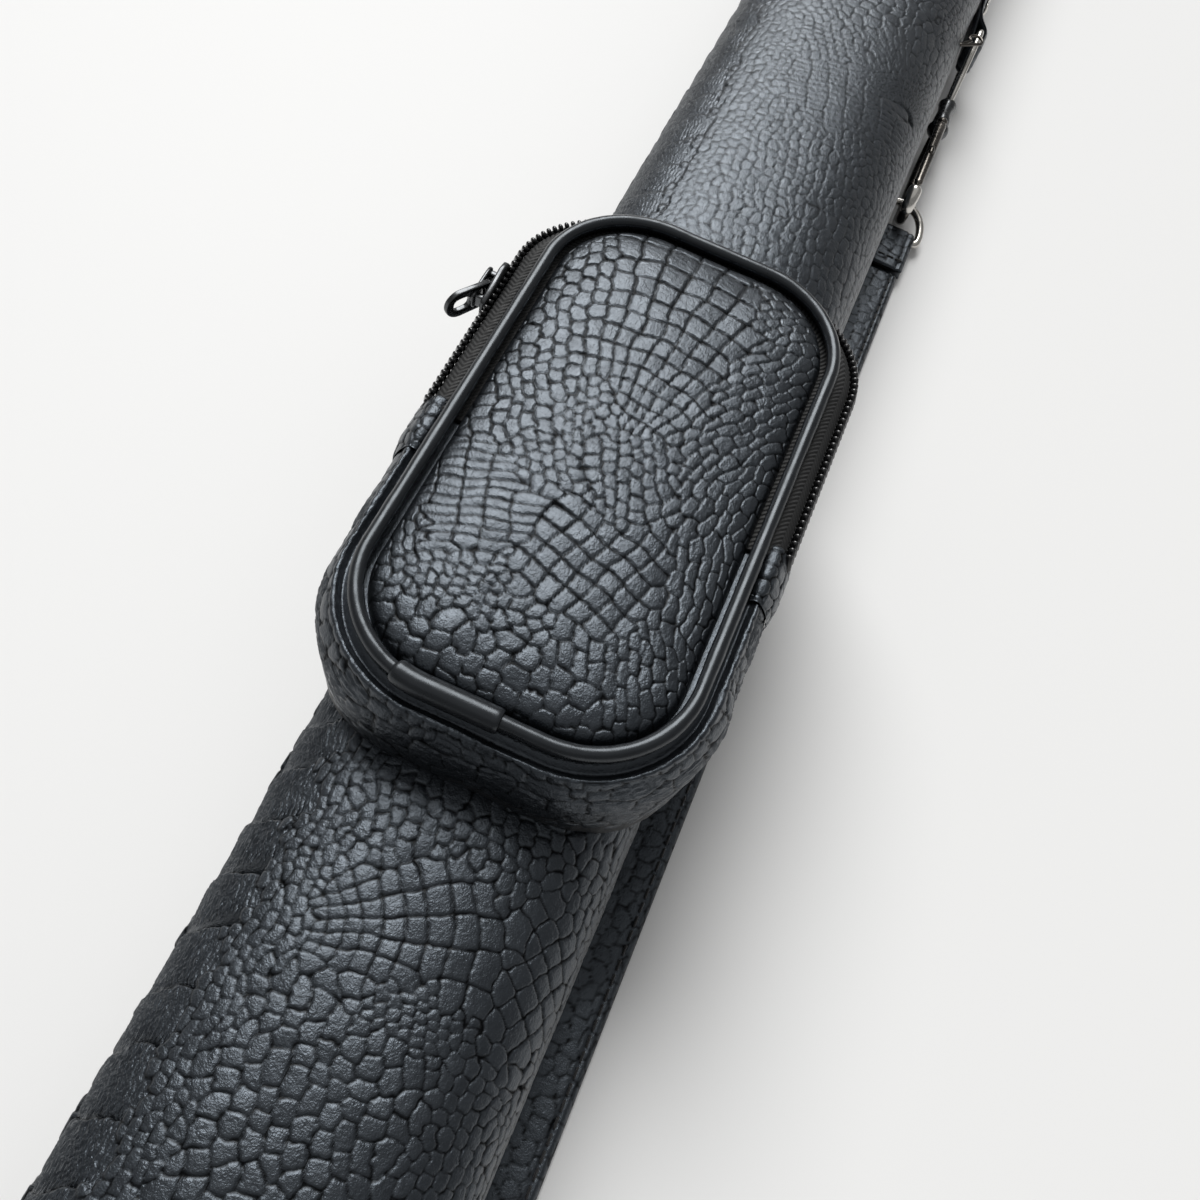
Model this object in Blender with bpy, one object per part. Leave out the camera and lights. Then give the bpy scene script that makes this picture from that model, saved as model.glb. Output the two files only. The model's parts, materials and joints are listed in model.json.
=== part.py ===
"""Hard oval cue case with a zipped accessory pouch and a clip-on carry strap.

The case lies on its back. +X runs from the base to the lid, +Z points up out of the front,
where the pouch sits, and the strap lies along the -Y side. The origin is on the ground under
the middle of the case. Everything is in metres.
"""

import math

import bmesh
import bpy
from mathutils import Vector

# Case
HALF_WIDTH = 0.038
HALF_DEPTH = 0.024
SECTION_POWER = 2.5
SECTION_SIDES = 40
SECTION_FLAT = math.cos(math.pi / SECTION_SIDES)
CASE_END = 0.410
SEAM_X = 0.250
GAP = 0.0003
COVER = 0.0011
SHELL = 0.0020
COLLAR = 0.0012
BINDING = 0.011
CAP = 0.006
SHELL_INSET = COVER + GAP
BORE_INSET = SHELL_INSET + SHELL
COLLAR_INSET = BORE_INSET + GAP
BLOCK_INSET = COLLAR_INSET + COLLAR + GAP
COLLAR_REACH = 0.030
MOUTH_PLATE = 0.0015

# Cue channels
BUTT_Y, BUTT_R = 0.0135, 0.0157
SHAFT_Y, SHAFT_R = -0.0169, 0.0110
SLEEVE = 0.0008

# Pouch
POUCH_X = -0.080
PANEL_HALF_LENGTH = 0.069
PANEL_HALF_WIDTH = 0.0362
PANEL_CORNER = 0.0237
PIPING_R = 0.00175
PIPING_Z = 0.0685
HINGE_X = -0.007
HINGE_Z = 0.0722
HINGE_GAP = 0.0005
SPREAD = 0.0066
BACK_TOP = 0.0500
SLIDER_X = 0.033
SLIDER_LENGTH = 0.0150
SLIDER_OFFSET = 0.0093
PULL_RISE = 0.0013
PULL_TURN = math.radians(28)
BAIL_R = 0.0026
BAIL_WIRE = 0.0007

# Closure
CLOSURE_HALF_WIDTH = 0.012
CLOSURE_Z = 0.0495
CLOSURE_THICK = 0.0022
CLOSURE_PIVOT_X = 0.283
SNAP_X = 0.228

# Carry strap and its hooks
STRAP_Y = -0.0397
STRAP_HALF_WIDTH = 0.0095
STRAP_THICK = 0.0030
STRAP_ENDS = {"upper": (0.103, 1), "lower": (-0.255, -1)}
RING_R = 0.00125
FOLD_Y = -0.0410
FOLD_HALF_WIDTH = 0.0085
RING_BAR = -0.0034
RING_Z = 0.0031
RING_HALF_WIDTH = 0.0100
RING_DEPTH = 0.0134
RING_TILT = math.radians(15)
HOOK_Y = -0.0425
HOOK_Z = 0.0115
HOOK_MIDDLE = 0.0225
HOOK_HALF = (0.0235, 0.0095)
HOOK_R = 0.0016
GATE_PIVOT = 0.0395
EYE_BAR = 0.0860
EYE_Z = 0.0170


def clear_scene():
    for obj in list(bpy.data.objects):
        bpy.data.objects.remove(obj)


def material(name, colour, roughness, metallic=0.0):
    made = bpy.data.materials.new(name)
    made.use_nodes = True
    shader = made.node_tree.nodes["Principled BSDF"]
    shader.inputs["Base Color"].default_value = (*colour, 1)
    shader.inputs["Roughness"].default_value = roughness
    shader.inputs["Metallic"].default_value = metallic
    return made


LOOKS = {
    "croc": ((0.022, 0.024, 0.028), 0.42, 0.0),
    "vinyl": ((0.020, 0.021, 0.023), 0.35, 0.0),
    "tape": ((0.012, 0.012, 0.013), 0.85, 0.0),
    "coil": ((0.010, 0.010, 0.011), 0.25, 0.0),
    "nickel": ((0.62, 0.60, 0.57), 0.22, 1.0),
    "gunmetal": ((0.33, 0.34, 0.35), 0.30, 1.0),
    "board": ((0.16, 0.13, 0.10), 0.80, 0.0),
    "foam": ((0.07, 0.07, 0.075), 0.95, 0.0),
    "velvet": ((0.05, 0.05, 0.06), 0.95, 0.0),
}


def node(name, mesh_maker, look, origin=(0, 0, 0), sharp=35):
    """A named object whose mesh is closed, with its origin on its joint's axis."""
    shape = bmesh.new()
    mesh_maker(shape)
    bmesh.ops.recalc_face_normals(shape, faces=shape.faces)
    bmesh.ops.translate(shape, verts=shape.verts, vec=-Vector(origin))
    mesh = bpy.data.meshes.new(name)
    shape.to_mesh(mesh)
    shape.free()
    mesh.shade_smooth()
    mesh.set_sharp_from_angle(angle=math.radians(sharp))
    mesh.materials.append(material(name, *LOOKS[look]))
    made = bpy.data.objects.new(name, mesh)
    made.location = origin
    bpy.context.scene.collection.objects.link(made)
    return made


def cutter(name, mesh_maker):
    made = node(name, mesh_maker, "foam")
    made.hide_render = True
    made.display_type = "WIRE"
    return made


def boolean(target, tool, operation):
    modifier = target.modifiers.new(tool.name, "BOOLEAN")
    modifier.operation = operation
    modifier.object = tool
    modifier.solver = "EXACT"


def loft(rings, closed=False):
    """Joins rings of equal length into one skin, capped at both ends unless it closes on itself."""

    def build(shape):
        rows = [[shape.verts.new(p) for p in ring] for ring in rings]
        pairs = list(zip(rows, rows[1:]))
        if closed:
            pairs.append((rows[-1], rows[0]))
        for a, b in pairs:
            for i in range(len(a)):
                j = (i + 1) % len(a)
                shape.faces.new((a[i], a[j], b[j], b[i]))
        if not closed:
            shape.faces.new(rows[0])
            shape.faces.new(rows[-1])

    return build


def case_ring(x, inset):
    """The case's oval section at x, inset from its outer face. Its lowest and highest sides are flat."""
    ring = []
    for i in range(SECTION_SIDES):
        angle = 2 * math.pi * (i + 0.5) / SECTION_SIDES
        c, s = (math.copysign((abs(v) / SECTION_FLAT) ** (2 / SECTION_POWER), v) for v in (math.cos(angle), math.sin(angle)))
        ring.append((x, (HALF_WIDTH - inset) * c, HALF_DEPTH + (HALF_DEPTH - inset) * s))
    return ring


def side_of(z):
    """Half-width of the case's section at height z."""
    drop = abs(z - HALF_DEPTH) / HALF_DEPTH
    return HALF_WIDTH * max(0.0, 1 - drop**SECTION_POWER) ** (1 / SECTION_POWER)


def top_of(y):
    """Height of the case's front face at y."""
    drop = min(1.0, abs(y) / HALF_WIDTH)
    return HALF_DEPTH + HALF_DEPTH * (1 - drop**SECTION_POWER) ** (1 / SECTION_POWER)


def oval_tube(x0, x1, outer, inner):
    """A length of oval tube between two insets."""
    return loft([case_ring(x0, outer), case_ring(x1, outer), case_ring(x1, inner), case_ring(x0, inner)], closed=True)


def oval_plug(x0, x1, inset):
    return loft([case_ring(x0, inset), case_ring(x1, inset)])


def round_bar(centre, direction, radius, length, sides=24):
    """A closed cylinder from its centre point, along a direction."""

    def build(shape):
        made = bmesh.ops.create_cone(shape, cap_ends=True, segments=sides, radius1=radius, radius2=radius, depth=length)
        turn = Vector((0, 0, 1)).rotation_difference(Vector(direction)).to_matrix()
        bmesh.ops.rotate(shape, verts=made["verts"], cent=(0, 0, 0), matrix=turn)
        bmesh.ops.translate(shape, verts=made["verts"], vec=centre)

    return build


def dome(x, y, z, radius, height, rings=3, sides=24):
    """A low domed button head with a flat underside at z."""
    levels = [(1.0, 0.0)] + [
        (math.cos(math.pi / 2 * k / (rings + 1)), math.sin(math.pi / 2 * k / (rings + 1))) for k in range(1, rings + 1)
    ]
    return loft([circle(x, y, z + height * (0.35 * (k > 0) + 0.65 * rise), radius * wide, sides)
                 for k, (wide, rise) in enumerate(levels)])


def circle(x, y, z, radius, sides=24):
    return [(x + radius * math.cos(2 * math.pi * i / sides), y + radius * math.sin(2 * math.pi * i / sides), z)
            for i in range(sides)]


def box(low, high):
    def build(shape):
        made = bmesh.ops.create_cube(shape, size=1.0)
        size = [h - l for l, h in zip(low, high)]
        middle = [(h + l) / 2 for l, h in zip(low, high)]
        bmesh.ops.scale(shape, verts=made["verts"], vec=size)
        bmesh.ops.translate(shape, verts=made["verts"], vec=middle)

    return build


def sweep(points, radius, sides=10, closed=False, up=(0, 0, 1)):
    """A round wire along points that lie in one plane whose normal is up."""
    normal = Vector(up)
    count = len(points)
    rings = []
    for i, p in enumerate(points):
        before = Vector(points[i - 1] if closed or i else points[0])
        after = Vector(points[(i + 1) % count] if closed or i < count - 1 else points[-1])
        side = (after - before).normalized().cross(normal).normalized()
        turns = [2 * math.pi * k / sides for k in range(sides)]
        rings.append([Vector(p) + radius * (math.cos(t) * side + math.sin(t) * normal) for t in turns])
    return loft(rings, closed)


# ---- case -------------------------------------------------------------------------------------


def end_cap(name, tip, inwards, plug):
    """A domed end with a plug that fills the shell."""
    edge = tip + inwards * CAP
    steps = [(plug, COLLAR_INSET), (edge, COLLAR_INSET), (edge, 0.0004), (edge - inwards * 0.0022, 0.0004),
             (edge - inwards * 0.0042, 0.0022), (tip, 0.0068)]
    return node(name, loft([case_ring(x, inset) for x, inset in steps]), "croc")


def build_case():
    base, seam = -CASE_END, SEAM_X
    edge = base + CAP + GAP
    node("tube_cover", oval_tube(edge + BINDING + GAP, seam - BINDING - 2 * GAP, 0, COVER), "croc")
    node("base_binding", oval_tube(edge, edge + BINDING, 0, COVER), "vinyl")
    node("mouth_binding", oval_tube(seam - BINDING - GAP, seam - GAP, 0, COVER), "vinyl")
    node("tube_shell", oval_tube(edge, seam - GAP, SHELL_INSET, BORE_INSET), "board")
    end_cap("base_cap", base, 1, base + 0.020)
    node("base_pad", oval_plug(base + 0.0203, base + 0.0370, BLOCK_INSET), "foam")
    mouth = seam + COLLAR_REACH
    node("mouth_collar", oval_tube(seam - 0.050, mouth, COLLAR_INSET, COLLAR_INSET + COLLAR), "velvet")
    block = node("liner_block", oval_plug(base + 0.0373, mouth, BLOCK_INSET), "foam")
    plate = node("mouth_plate", oval_plug(mouth + GAP, mouth + GAP + MOUTH_PLATE, COLLAR_INSET), "velvet")
    for name, y, radius in (("butt", BUTT_Y, BUTT_R), ("shaft", SHAFT_Y, SHAFT_R)):
        start, end = base + 0.0373, mouth + GAP + MOUTH_PLATE
        middle, length = (start + end) / 2, end - start
        hole = cutter(f"{name}_hole", round_bar((middle, y, HALF_DEPTH), (1, 0, 0), radius + SLEEVE + GAP, length + 0.1, 32))
        boolean(block, hole, "DIFFERENCE")
        boolean(plate, hole, "DIFFERENCE")
        outer, inner = (
            [[(x, y + r * math.cos(math.tau * i / 32), HALF_DEPTH + r * math.sin(math.tau * i / 32)) for i in range(32)]
             for x in (start, end)] for r in (radius + SLEEVE, radius))
        node(f"{name}_sleeve", loft([outer[0], outer[1], inner[1], inner[0]], closed=True), "velvet")


def build_lid():
    seam, end = SEAM_X, CASE_END
    edge = end - CAP - GAP
    node("lid_rim_binding", oval_tube(seam + GAP, seam + BINDING, 0, COVER), "vinyl")
    node("lid_cover", oval_tube(seam + BINDING + GAP, edge - BINDING - GAP, 0, COVER), "croc")
    node("lid_end_binding", oval_tube(edge - BINDING, edge, 0, COVER), "vinyl")
    node("lid_shell", oval_tube(seam + GAP, edge, SHELL_INSET, BORE_INSET), "board")
    end_cap("lid_end_cap", end, -1, end - 0.014)
    node("lid_lining", oval_tube(seam + 0.034, end - 0.0145, COLLAR_INSET, COLLAR_INSET + 0.0025), "velvet")
    node("lid_end_pad", oval_plug(end - 0.024, end - 0.0143, COLLAR_INSET + 0.0028), "foam")


def build_closure():
    top = CLOSURE_Z + CLOSURE_THICK
    node("closure_patch", box((CLOSURE_PIVOT_X + GAP, -CLOSURE_HALF_WIDTH, 2 * HALF_DEPTH + GAP),
                              (CLOSURE_PIVOT_X + 0.028, CLOSURE_HALF_WIDTH, top)), "croc")
    for name, y in (("closure_rivet_left", 0.0065), ("closure_rivet_right", -0.0065)):
        node(name, dome(CLOSURE_PIVOT_X + 0.016, y, top + GAP, 0.0038, 0.0014), "nickel")
    tip = SNAP_X
    arc = [math.pi / 2 + math.pi * i / 16 for i in range(17)]
    outline = [(tip + CLOSURE_HALF_WIDTH * math.cos(a), CLOSURE_HALF_WIDTH * math.sin(a)) for a in arc]
    outline = [(CLOSURE_PIVOT_X, CLOSURE_HALF_WIDTH)] + outline + [(CLOSURE_PIVOT_X, -CLOSURE_HALF_WIDTH)]
    strap = node("closure_strap", loft([[(x, y, z) for x, y in outline] for z in (CLOSURE_Z, top)]), "croc",
                 origin=(CLOSURE_PIVOT_X, 0, top + GAP))
    boolean(strap, cutter("snap_hole", round_bar((tip, 0, CLOSURE_Z), (0, 0, 1), 0.0032, 0.02)), "DIFFERENCE")
    steps = [(CLOSURE_Z, 0.0029), (top + GAP, 0.0029), (top + GAP, 0.0066), (top + 0.0010, 0.0066),
             (top + 0.0019, 0.0052), (top + 0.0023, 0.0028)]
    node("snap_cap", loft([circle(tip, 0, z, r) for z, r in steps]), "nickel",
         origin=(CLOSURE_PIVOT_X, 0, top + GAP))
    low = 2 * HALF_DEPTH + GAP
    steps = [(low, 0.0056), (low + 0.0003, 0.0056), (low + 0.0003, 0.0022), (CLOSURE_Z - GAP, 0.0022)]
    node("snap_stud", loft([circle(tip, 0, z, r) for z, r in steps]), "nickel")


# ---- pouch ------------------------------------------------------------------------------------


def outline(start_turn, end_turn, corner_steps=8):
    """Points of the pouch outline with their outward normals, about the pouch's middle.

    A turn counts quarter corners anticlockwise from the +X, -Y corner: 0 to 4 goes all the way round
    from the hinge line on the -Y side, and 2 is half way.
    """
    straight = PANEL_HALF_LENGTH - PANEL_CORNER
    side = PANEL_HALF_WIDTH - PANEL_CORNER
    centres = [(straight, -side), (straight, side), (-straight, side), (-straight, -side)]
    found = []
    for quarter in range(start_turn, end_turn):
        x, y = centres[quarter]
        for k in range(corner_steps + 1):
            angle = math.pi / 2 * (quarter - 1 + k / corner_steps)
            n = (math.cos(angle), math.sin(angle))
            found.append(((x + PANEL_CORNER * n[0], y + PANEL_CORNER * n[1]), n))
    return found


UPPER_START = [((HINGE_X + HINGE_GAP, -PANEL_HALF_WIDTH), (0, -1))]
UPPER_END = [((HINGE_X + HINGE_GAP, PANEL_HALF_WIDTH), (0, 1))]
LOWER_START = [((HINGE_X - HINGE_GAP, PANEL_HALF_WIDTH), (0, 1))]
LOWER_END = [((HINGE_X - HINGE_GAP, -PANEL_HALF_WIDTH), (0, -1))]
UPPER = UPPER_START + outline(0, 2) + UPPER_END
LOWER = LOWER_START + outline(2, 4) + LOWER_END


def around(path, profile):
    """Sweeps a closed profile of (offset outwards, z) along the pouch outline."""
    rings = []
    for (x, y), (nx, ny) in path:
        rings.append([(POUCH_X + x + nx * off, y + ny * off, z) for off, z in profile])
    return loft(rings)


def round_profile(offset, z, radius, sides=10):
    turns = [math.tau * k / sides for k in range(sides)]
    return [(offset + radius * math.cos(t), z + radius * math.sin(t)) for t in turns]


def whole_outline(offset):
    return [(POUCH_X + x + nx * offset, y + ny * offset) for (x, y), (nx, ny) in outline(0, 4)]


def build_pouch_base():
    edge = HALF_WIDTH + 0.006
    ys = [edge * k / 14 for k in range(-14, 15)]
    under = [(y, max(top_of(y) + GAP, BACK_TOP - 0.010)) for y in ys]
    profile = [(-edge, BACK_TOP), *under, (edge, BACK_TOP)]
    span = PANEL_HALF_LENGTH + 0.012
    back = node("pouch_back", loft([[(POUCH_X + s * span, y, z) for y, z in profile] for s in (-1, 1)]), "croc")
    footprint = [[(x, y, z) for x, y in whole_outline(SPREAD)] for z in (0.02, 0.08)]
    boolean(back, cutter("pouch_footprint", loft(footprint)), "INTERSECT")
    low = BACK_TOP + GAP
    node("pouch_gusset", around(LOWER, [
        (0.0016, 0.0668), (0.0058, 0.0652), (0.0078, 0.0612), (0.0080, 0.0560), (SPREAD, low),
        (SPREAD - 0.0018, low), (0.0061, 0.0560), (0.0059, 0.0606), (0.0044, 0.0634), (0.0016, 0.0648)]), "croc")
    node("pouch_rear_strip", around(UPPER, [(0.0080, 0.0555), (SPREAD, low), (SPREAD - 0.0018, low), (0.0062, 0.0555)]),
         "croc")
    node("zipper_tape_rear", around(UPPER, [(0.0066, 0.0558), (0.0076, 0.0558), (0.0080, 0.0612), (0.0070, 0.0612)]),
         "tape")
    node("zipper_coil_rear", around(UPPER, [(0.0068, 0.0615), (0.0090, 0.0615), (0.0090, 0.0629), (0.0068, 0.0629)]),
         "coil")
    fold = [(0.0093, 0.0565), (0.0106, 0.0570), (0.0106, 0.0648), (0.0093, 0.0655)]
    for name, y in (("zipper_end_fold_left", 1), ("zipper_end_fold_right", -1)):
        path = [((HINGE_X + dx, y * PANEL_HALF_WIDTH), (0, y)) for dx in (-0.004, 0.005)]
        node(name, around(path, fold), "croc")


def build_piping():
    round_up = round_profile(0, PIPING_Z, PIPING_R)
    sleeve_from, sleeve_to = 0.0185, -0.0035
    left = LOWER_START + outline(2, 3)
    right = outline(3, 4) + LOWER_END
    end = -PANEL_HALF_LENGTH
    corner = PANEL_HALF_WIDTH - PANEL_CORNER
    left = [p for p in left if p[0][1] > sleeve_from + 0.0012]
    left.append(sleeve_point(sleeve_from + GAP))
    right = [sleeve_point(sleeve_to - GAP)] + right
    node("piping_lower_left", around(left, round_up), "vinyl")
    node("piping_lower_right", around(right, round_up), "vinyl")
    middle = [sleeve_point(sleeve_from), sleeve_point(corner), ((end, sleeve_to), (-1, 0))]
    node("piping_sleeve", around(middle, round_profile(0, PIPING_Z, PIPING_R + 0.0003)), "vinyl")


def sleeve_point(y):
    """Where the outline's base end is at y, on its straight run or on the +Y corner."""
    corner_y = PANEL_HALF_WIDTH - PANEL_CORNER
    if y <= corner_y:
        return (-PANEL_HALF_LENGTH, y), (-1, 0)
    s = (y - corner_y) / PANEL_CORNER
    c = math.sqrt(1 - s * s)
    return (-PANEL_HALF_LENGTH + PANEL_CORNER * (1 - c), y), (-c, s)


def build_panels():
    """The crowned front panel, cut at the hinge line into a fixed lower half and an opening flap."""
    steps = [(0.0022, 0.0650), (0.0022, 0.0676), (0.0034, 0.0690), (0.0075, 0.0701), (0.0130, 0.0709), (0.0200, 0.0713)]
    far = PANEL_HALF_LENGTH + 0.02
    for name, low, high, origin in (
        ("pouch_panel_lower", -far, HINGE_X - HINGE_GAP, (0, 0, 0)),
        ("pouch_panel_flap", HINGE_X + HINGE_GAP, far, (POUCH_X + HINGE_X, 0, HINGE_Z)),
    ):
        panel = node(name, loft([[(x, y, z) for x, y in whole_outline(-inset)] for inset, z in steps]), "croc", origin)
        keep = cutter(f"{name}_half", box((POUCH_X + low, -0.06, 0.05), (POUCH_X + high, 0.06, 0.09)))
        boolean(panel, keep, "INTERSECT")
    origin = (POUCH_X + HINGE_X, 0, HINGE_Z)
    node("piping_flap", around(UPPER, round_profile(0, PIPING_Z, PIPING_R)), "vinyl", origin)
    node("zipper_tape_flap", around(UPPER, [(0.0016, 0.0655), (0.0064, 0.0641), (0.0074, 0.0649), (0.0016, 0.0668)]),
         "tape", origin)
    node("zipper_coil_flap", around(UPPER, [(0.0078, 0.0632), (0.0090, 0.0632), (0.0090, 0.0650), (0.0078, 0.0650)]),
         "coil", origin)


def build_slider():
    """The outer plate of the zip slider, its arched bail, and a pull whose crossbar turns inside the arch."""
    x, y, z = POUCH_X + SLIDER_X, PANEL_HALF_WIDTH + SLIDER_OFFSET, 0.0630
    half, plate = SLIDER_LENGTH / 2, 0.0013
    plan = [(-half, 0.0040), (-half, -0.0040), (half * 0.4, -0.0052), (half, -0.0030), (half, 0.0030), (half * 0.4, 0.0052)]
    body = node("zipper_slider", loft([[(x + u, y + w, z + v) for u, v in plan] for w in (0, plate)]), "gunmetal")
    pivot = Vector((x, y + plate + PULL_RISE, z))
    turns = [math.pi * k / 8 for k in range(9)]
    arch = [(BAIL_R * math.cos(t), BAIL_R * math.sin(t)) for t in turns]
    arch = [(BAIL_R, -PULL_RISE - 0.0006)] + arch + [(-BAIL_R, -PULL_RISE - 0.0006)]
    bail = sweep([tuple(pivot + Vector((u, rise, 0))) for u, rise in arch], BAIL_WIRE, 8)
    boolean(body, cutter("slider_bail", bail), "UNION")

    along = Vector((-math.cos(PULL_TURN), math.sin(PULL_TURN), 0))
    across = Vector((0, 0, 1))
    thick = along.cross(across)

    def slab(half_width, start, end, thickness, round_steps=8):
        arc = [math.pi / 2 - math.pi * k / round_steps for k in range(round_steps + 1)]
        flat = [(start, half_width)] + [(end + half_width * math.cos(a), half_width * math.sin(a)) for a in arc]
        flat += [(start, -half_width)]
        return loft([[pivot + u * along + v * across + w * thick for u, v in flat]
                     for w in (-thickness / 2, thickness / 2)])

    pull = node("zipper_pull", slab(0.0040, -0.0006, 0.0100, 0.0012), "gunmetal", origin=pivot)
    boolean(pull, cutter("pull_window", slab(0.0019, 0.0055, 0.0090, 0.01)), "DIFFERENCE")
    boolean(pull, cutter("pull_slot", slab(0.0011, BAIL_R - 0.0011, BAIL_R, 0.01)), "DIFFERENCE")


# ---- carry strap ------------------------------------------------------------------------------


def build_strap():
    low, high = STRAP_ENDS["lower"][0], STRAP_ENDS["upper"][0]
    y0, y1 = STRAP_Y - STRAP_HALF_WIDTH, STRAP_Y + STRAP_HALF_WIDTH
    node("carry_strap", box((low + 0.020, y0, 0), (high - 0.020, y1, STRAP_THICK)), "croc")


def strap_end(which):
    """The fold, ring, snap hook, swivel eye and anchor at one end of the strap."""
    start, way = STRAP_ENDS[which]

    def at(u, y, z):
        return (start + way * u, y, z)

    y0, y1 = FOLD_Y - FOLD_HALF_WIDTH, FOLD_Y + FOLD_HALF_WIDTH
    side = [(-0.0197, 0), (-0.0020, 0), (-0.0006, 0.0012), (0, 0.0031), (-0.0006, 0.0050), (-0.0020, 0.0062),
            (-0.0090, 0.0062), (-0.0150, 0.0054), (-0.0197, 0.0054)]
    fold = node(f"strap_fold_{which}", loft([[at(u, y, z) for u, z in side] for y in (y0, y1)]), "croc")
    bar = cutter(f"ring_hole_{which}", round_bar(at(RING_BAR, FOLD_Y, RING_Z), (0, 1, 0), 0.0018, 0.05, 16))
    boolean(fold, bar, "DIFFERENCE")

    arc = [-math.pi / 2 + math.pi * k / 16 for k in range(17)]
    flat = [(RING_DEPTH * math.cos(a) ** 0.8, RING_HALF_WIDTH * math.sin(a)) for a in arc[1:-1]]
    flat = [(0, -RING_HALF_WIDTH)] + flat + [(0, RING_HALF_WIDTH)]
    c, s = math.cos(RING_TILT), math.sin(RING_TILT)
    ring = [at(RING_BAR + u * c, FOLD_Y + v, RING_Z + u * s) for u, v in flat]
    node(f"strap_ring_{which}", sweep(ring, RING_R, 8, closed=True, up=(-way * s, 0, c)), "nickel",
         origin=at(RING_BAR, FOLD_Y, RING_Z))

    def hook_at(degrees):
        a = math.radians(degrees)
        c, s = (math.copysign(abs(v) ** 0.8, v) for v in (math.cos(a), math.sin(a)))
        return at(HOOK_MIDDLE + HOOK_HALF[0] * c, HOOK_Y, HOOK_Z + HOOK_HALF[1] * s)

    hook_origin = at(0.0468, HOOK_Y, HOOK_Z)
    curve = [hook_at(35 - d) for d in range(0, 256, 10)]
    hook = node(f"snap_hook_{which}", sweep(curve, HOOK_R, 10, up=(0, 1, 0)), "nickel", origin=hook_origin)
    collar = cutter(f"hook_collar_{which}", round_bar(at(0.0468, HOOK_Y, HOOK_Z), (1, 0, 0), 0.0036, 0.0032, 20))
    boolean(hook, collar, "UNION")

    tip = Vector(hook_at(140)) + Vector((way * 0.0030, 0, 0.0004))
    pivot = Vector(at(GATE_PIVOT, HOOK_Y, HOOK_Z + 0.0066))
    node(f"hook_gate_{which}", sweep([tuple(pivot), tuple((pivot + tip) / 2), tuple(tip)], 0.0012, 8, up=(0, 1, 0)),
         "nickel", origin=tuple(pivot))

    eye_mid = Vector(at(0.0610, HOOK_Y, HOOK_Z))
    bar_mid = Vector(at(EYE_BAR, HOOK_Y, EYE_Z))
    half = 0.0092
    eye = [eye_mid + Vector((0, 0, 0.0022)), eye_mid + Vector((way * 0.006, 0, 0.0074)),
           bar_mid + Vector((-way * 0.006, 0, half)), bar_mid + Vector((0, 0, half - 0.0015)),
           bar_mid + Vector((0, 0, 0.0015 - half)), bar_mid + Vector((-way * 0.006, 0, -half)),
           eye_mid + Vector((way * 0.006, 0, -0.0050)), eye_mid + Vector((0, 0, -0.0022))]
    loop = node(f"swivel_eye_{which}", sweep([tuple(p) for p in eye], 0.0011, 8, closed=True, up=(0, 1, 0)), "nickel")
    post = cutter(f"swivel_post_{which}", round_bar(at(0.0550, HOOK_Y, HOOK_Z), (1, 0, 0), 0.0029, 0.0126, 20))
    boolean(loop, post, "UNION")
    build_anchor(which, at)


def build_anchor(which, at):
    """A short leather strap folded round the swivel eye and riveted to the case's side."""
    low, high = 0.0100, 0.0240

    def slab(u, inner, outer):
        heights = [low + (high - low) * k / 4 for k in range(5)]
        return [at(u, -inner(z), z) for z in heights] + [at(u, -outer(z), z) for z in reversed(heights)]

    def straight(value):
        return lambda z: value

    def on_case(extra):
        return lambda z: side_of(z) + extra

    rings = [slab(0.0815, straight(0.0412), straight(0.0438)), slab(0.0830, straight(0.0400), straight(0.0450)),
             slab(0.0890, straight(0.0400), straight(0.0450)), slab(0.1020, straight(0.0390), straight(0.0422)),
             slab(0.1080, on_case(0.0004), on_case(0.0034)), slab(0.1300, on_case(0.0004), on_case(0.0034))]
    strap = node(f"anchor_strap_{which}", loft(rings), "croc")
    bar = cutter(f"eye_hole_{which}", round_bar(at(EYE_BAR, HOOK_Y, EYE_Z), (0, 0, 1), 0.0015, 0.04, 16))
    boolean(strap, bar, "DIFFERENCE")
    for u, label in ((0.1150, "inner"), (0.1240, "outer")):
        face = side_of(0.0170) + 0.0034 + GAP
        rings = [(face + 0.0002, 0.0032), (face + 0.0007, 0.0032), (face + 0.0013, 0.0020)]
        turns = [math.tau * i / 20 for i in range(20)]
        head = [[at(u + r * math.cos(t), -y, 0.0170 + r * math.sin(t)) for t in turns] for y, r in rings]
        node(f"anchor_rivet_{which}_{label}", loft(head), "nickel")


def main():
    clear_scene()
    build_case()
    build_lid()
    build_closure()
    build_pouch_base()
    build_piping()
    build_panels()
    build_slider()
    build_strap()
    for which in STRAP_ENDS:
        strap_end(which)


main()
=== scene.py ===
"""The looks of the cue case: embossed leatherette, piped and zipped pouch, strap, hooks, bindings and lining.

Surface patterns are laid out in millimetres: u runs along the case from the pouch's middle towards
the lid, and v runs round it from the middle of its front, positive away from the strap.
"""

import json
import math
from collections import namedtuple

import bmesh
import bpy
import numpy as np
from mathutils import Matrix, Vector
from mathutils.bvhtree import BVHTree

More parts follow.
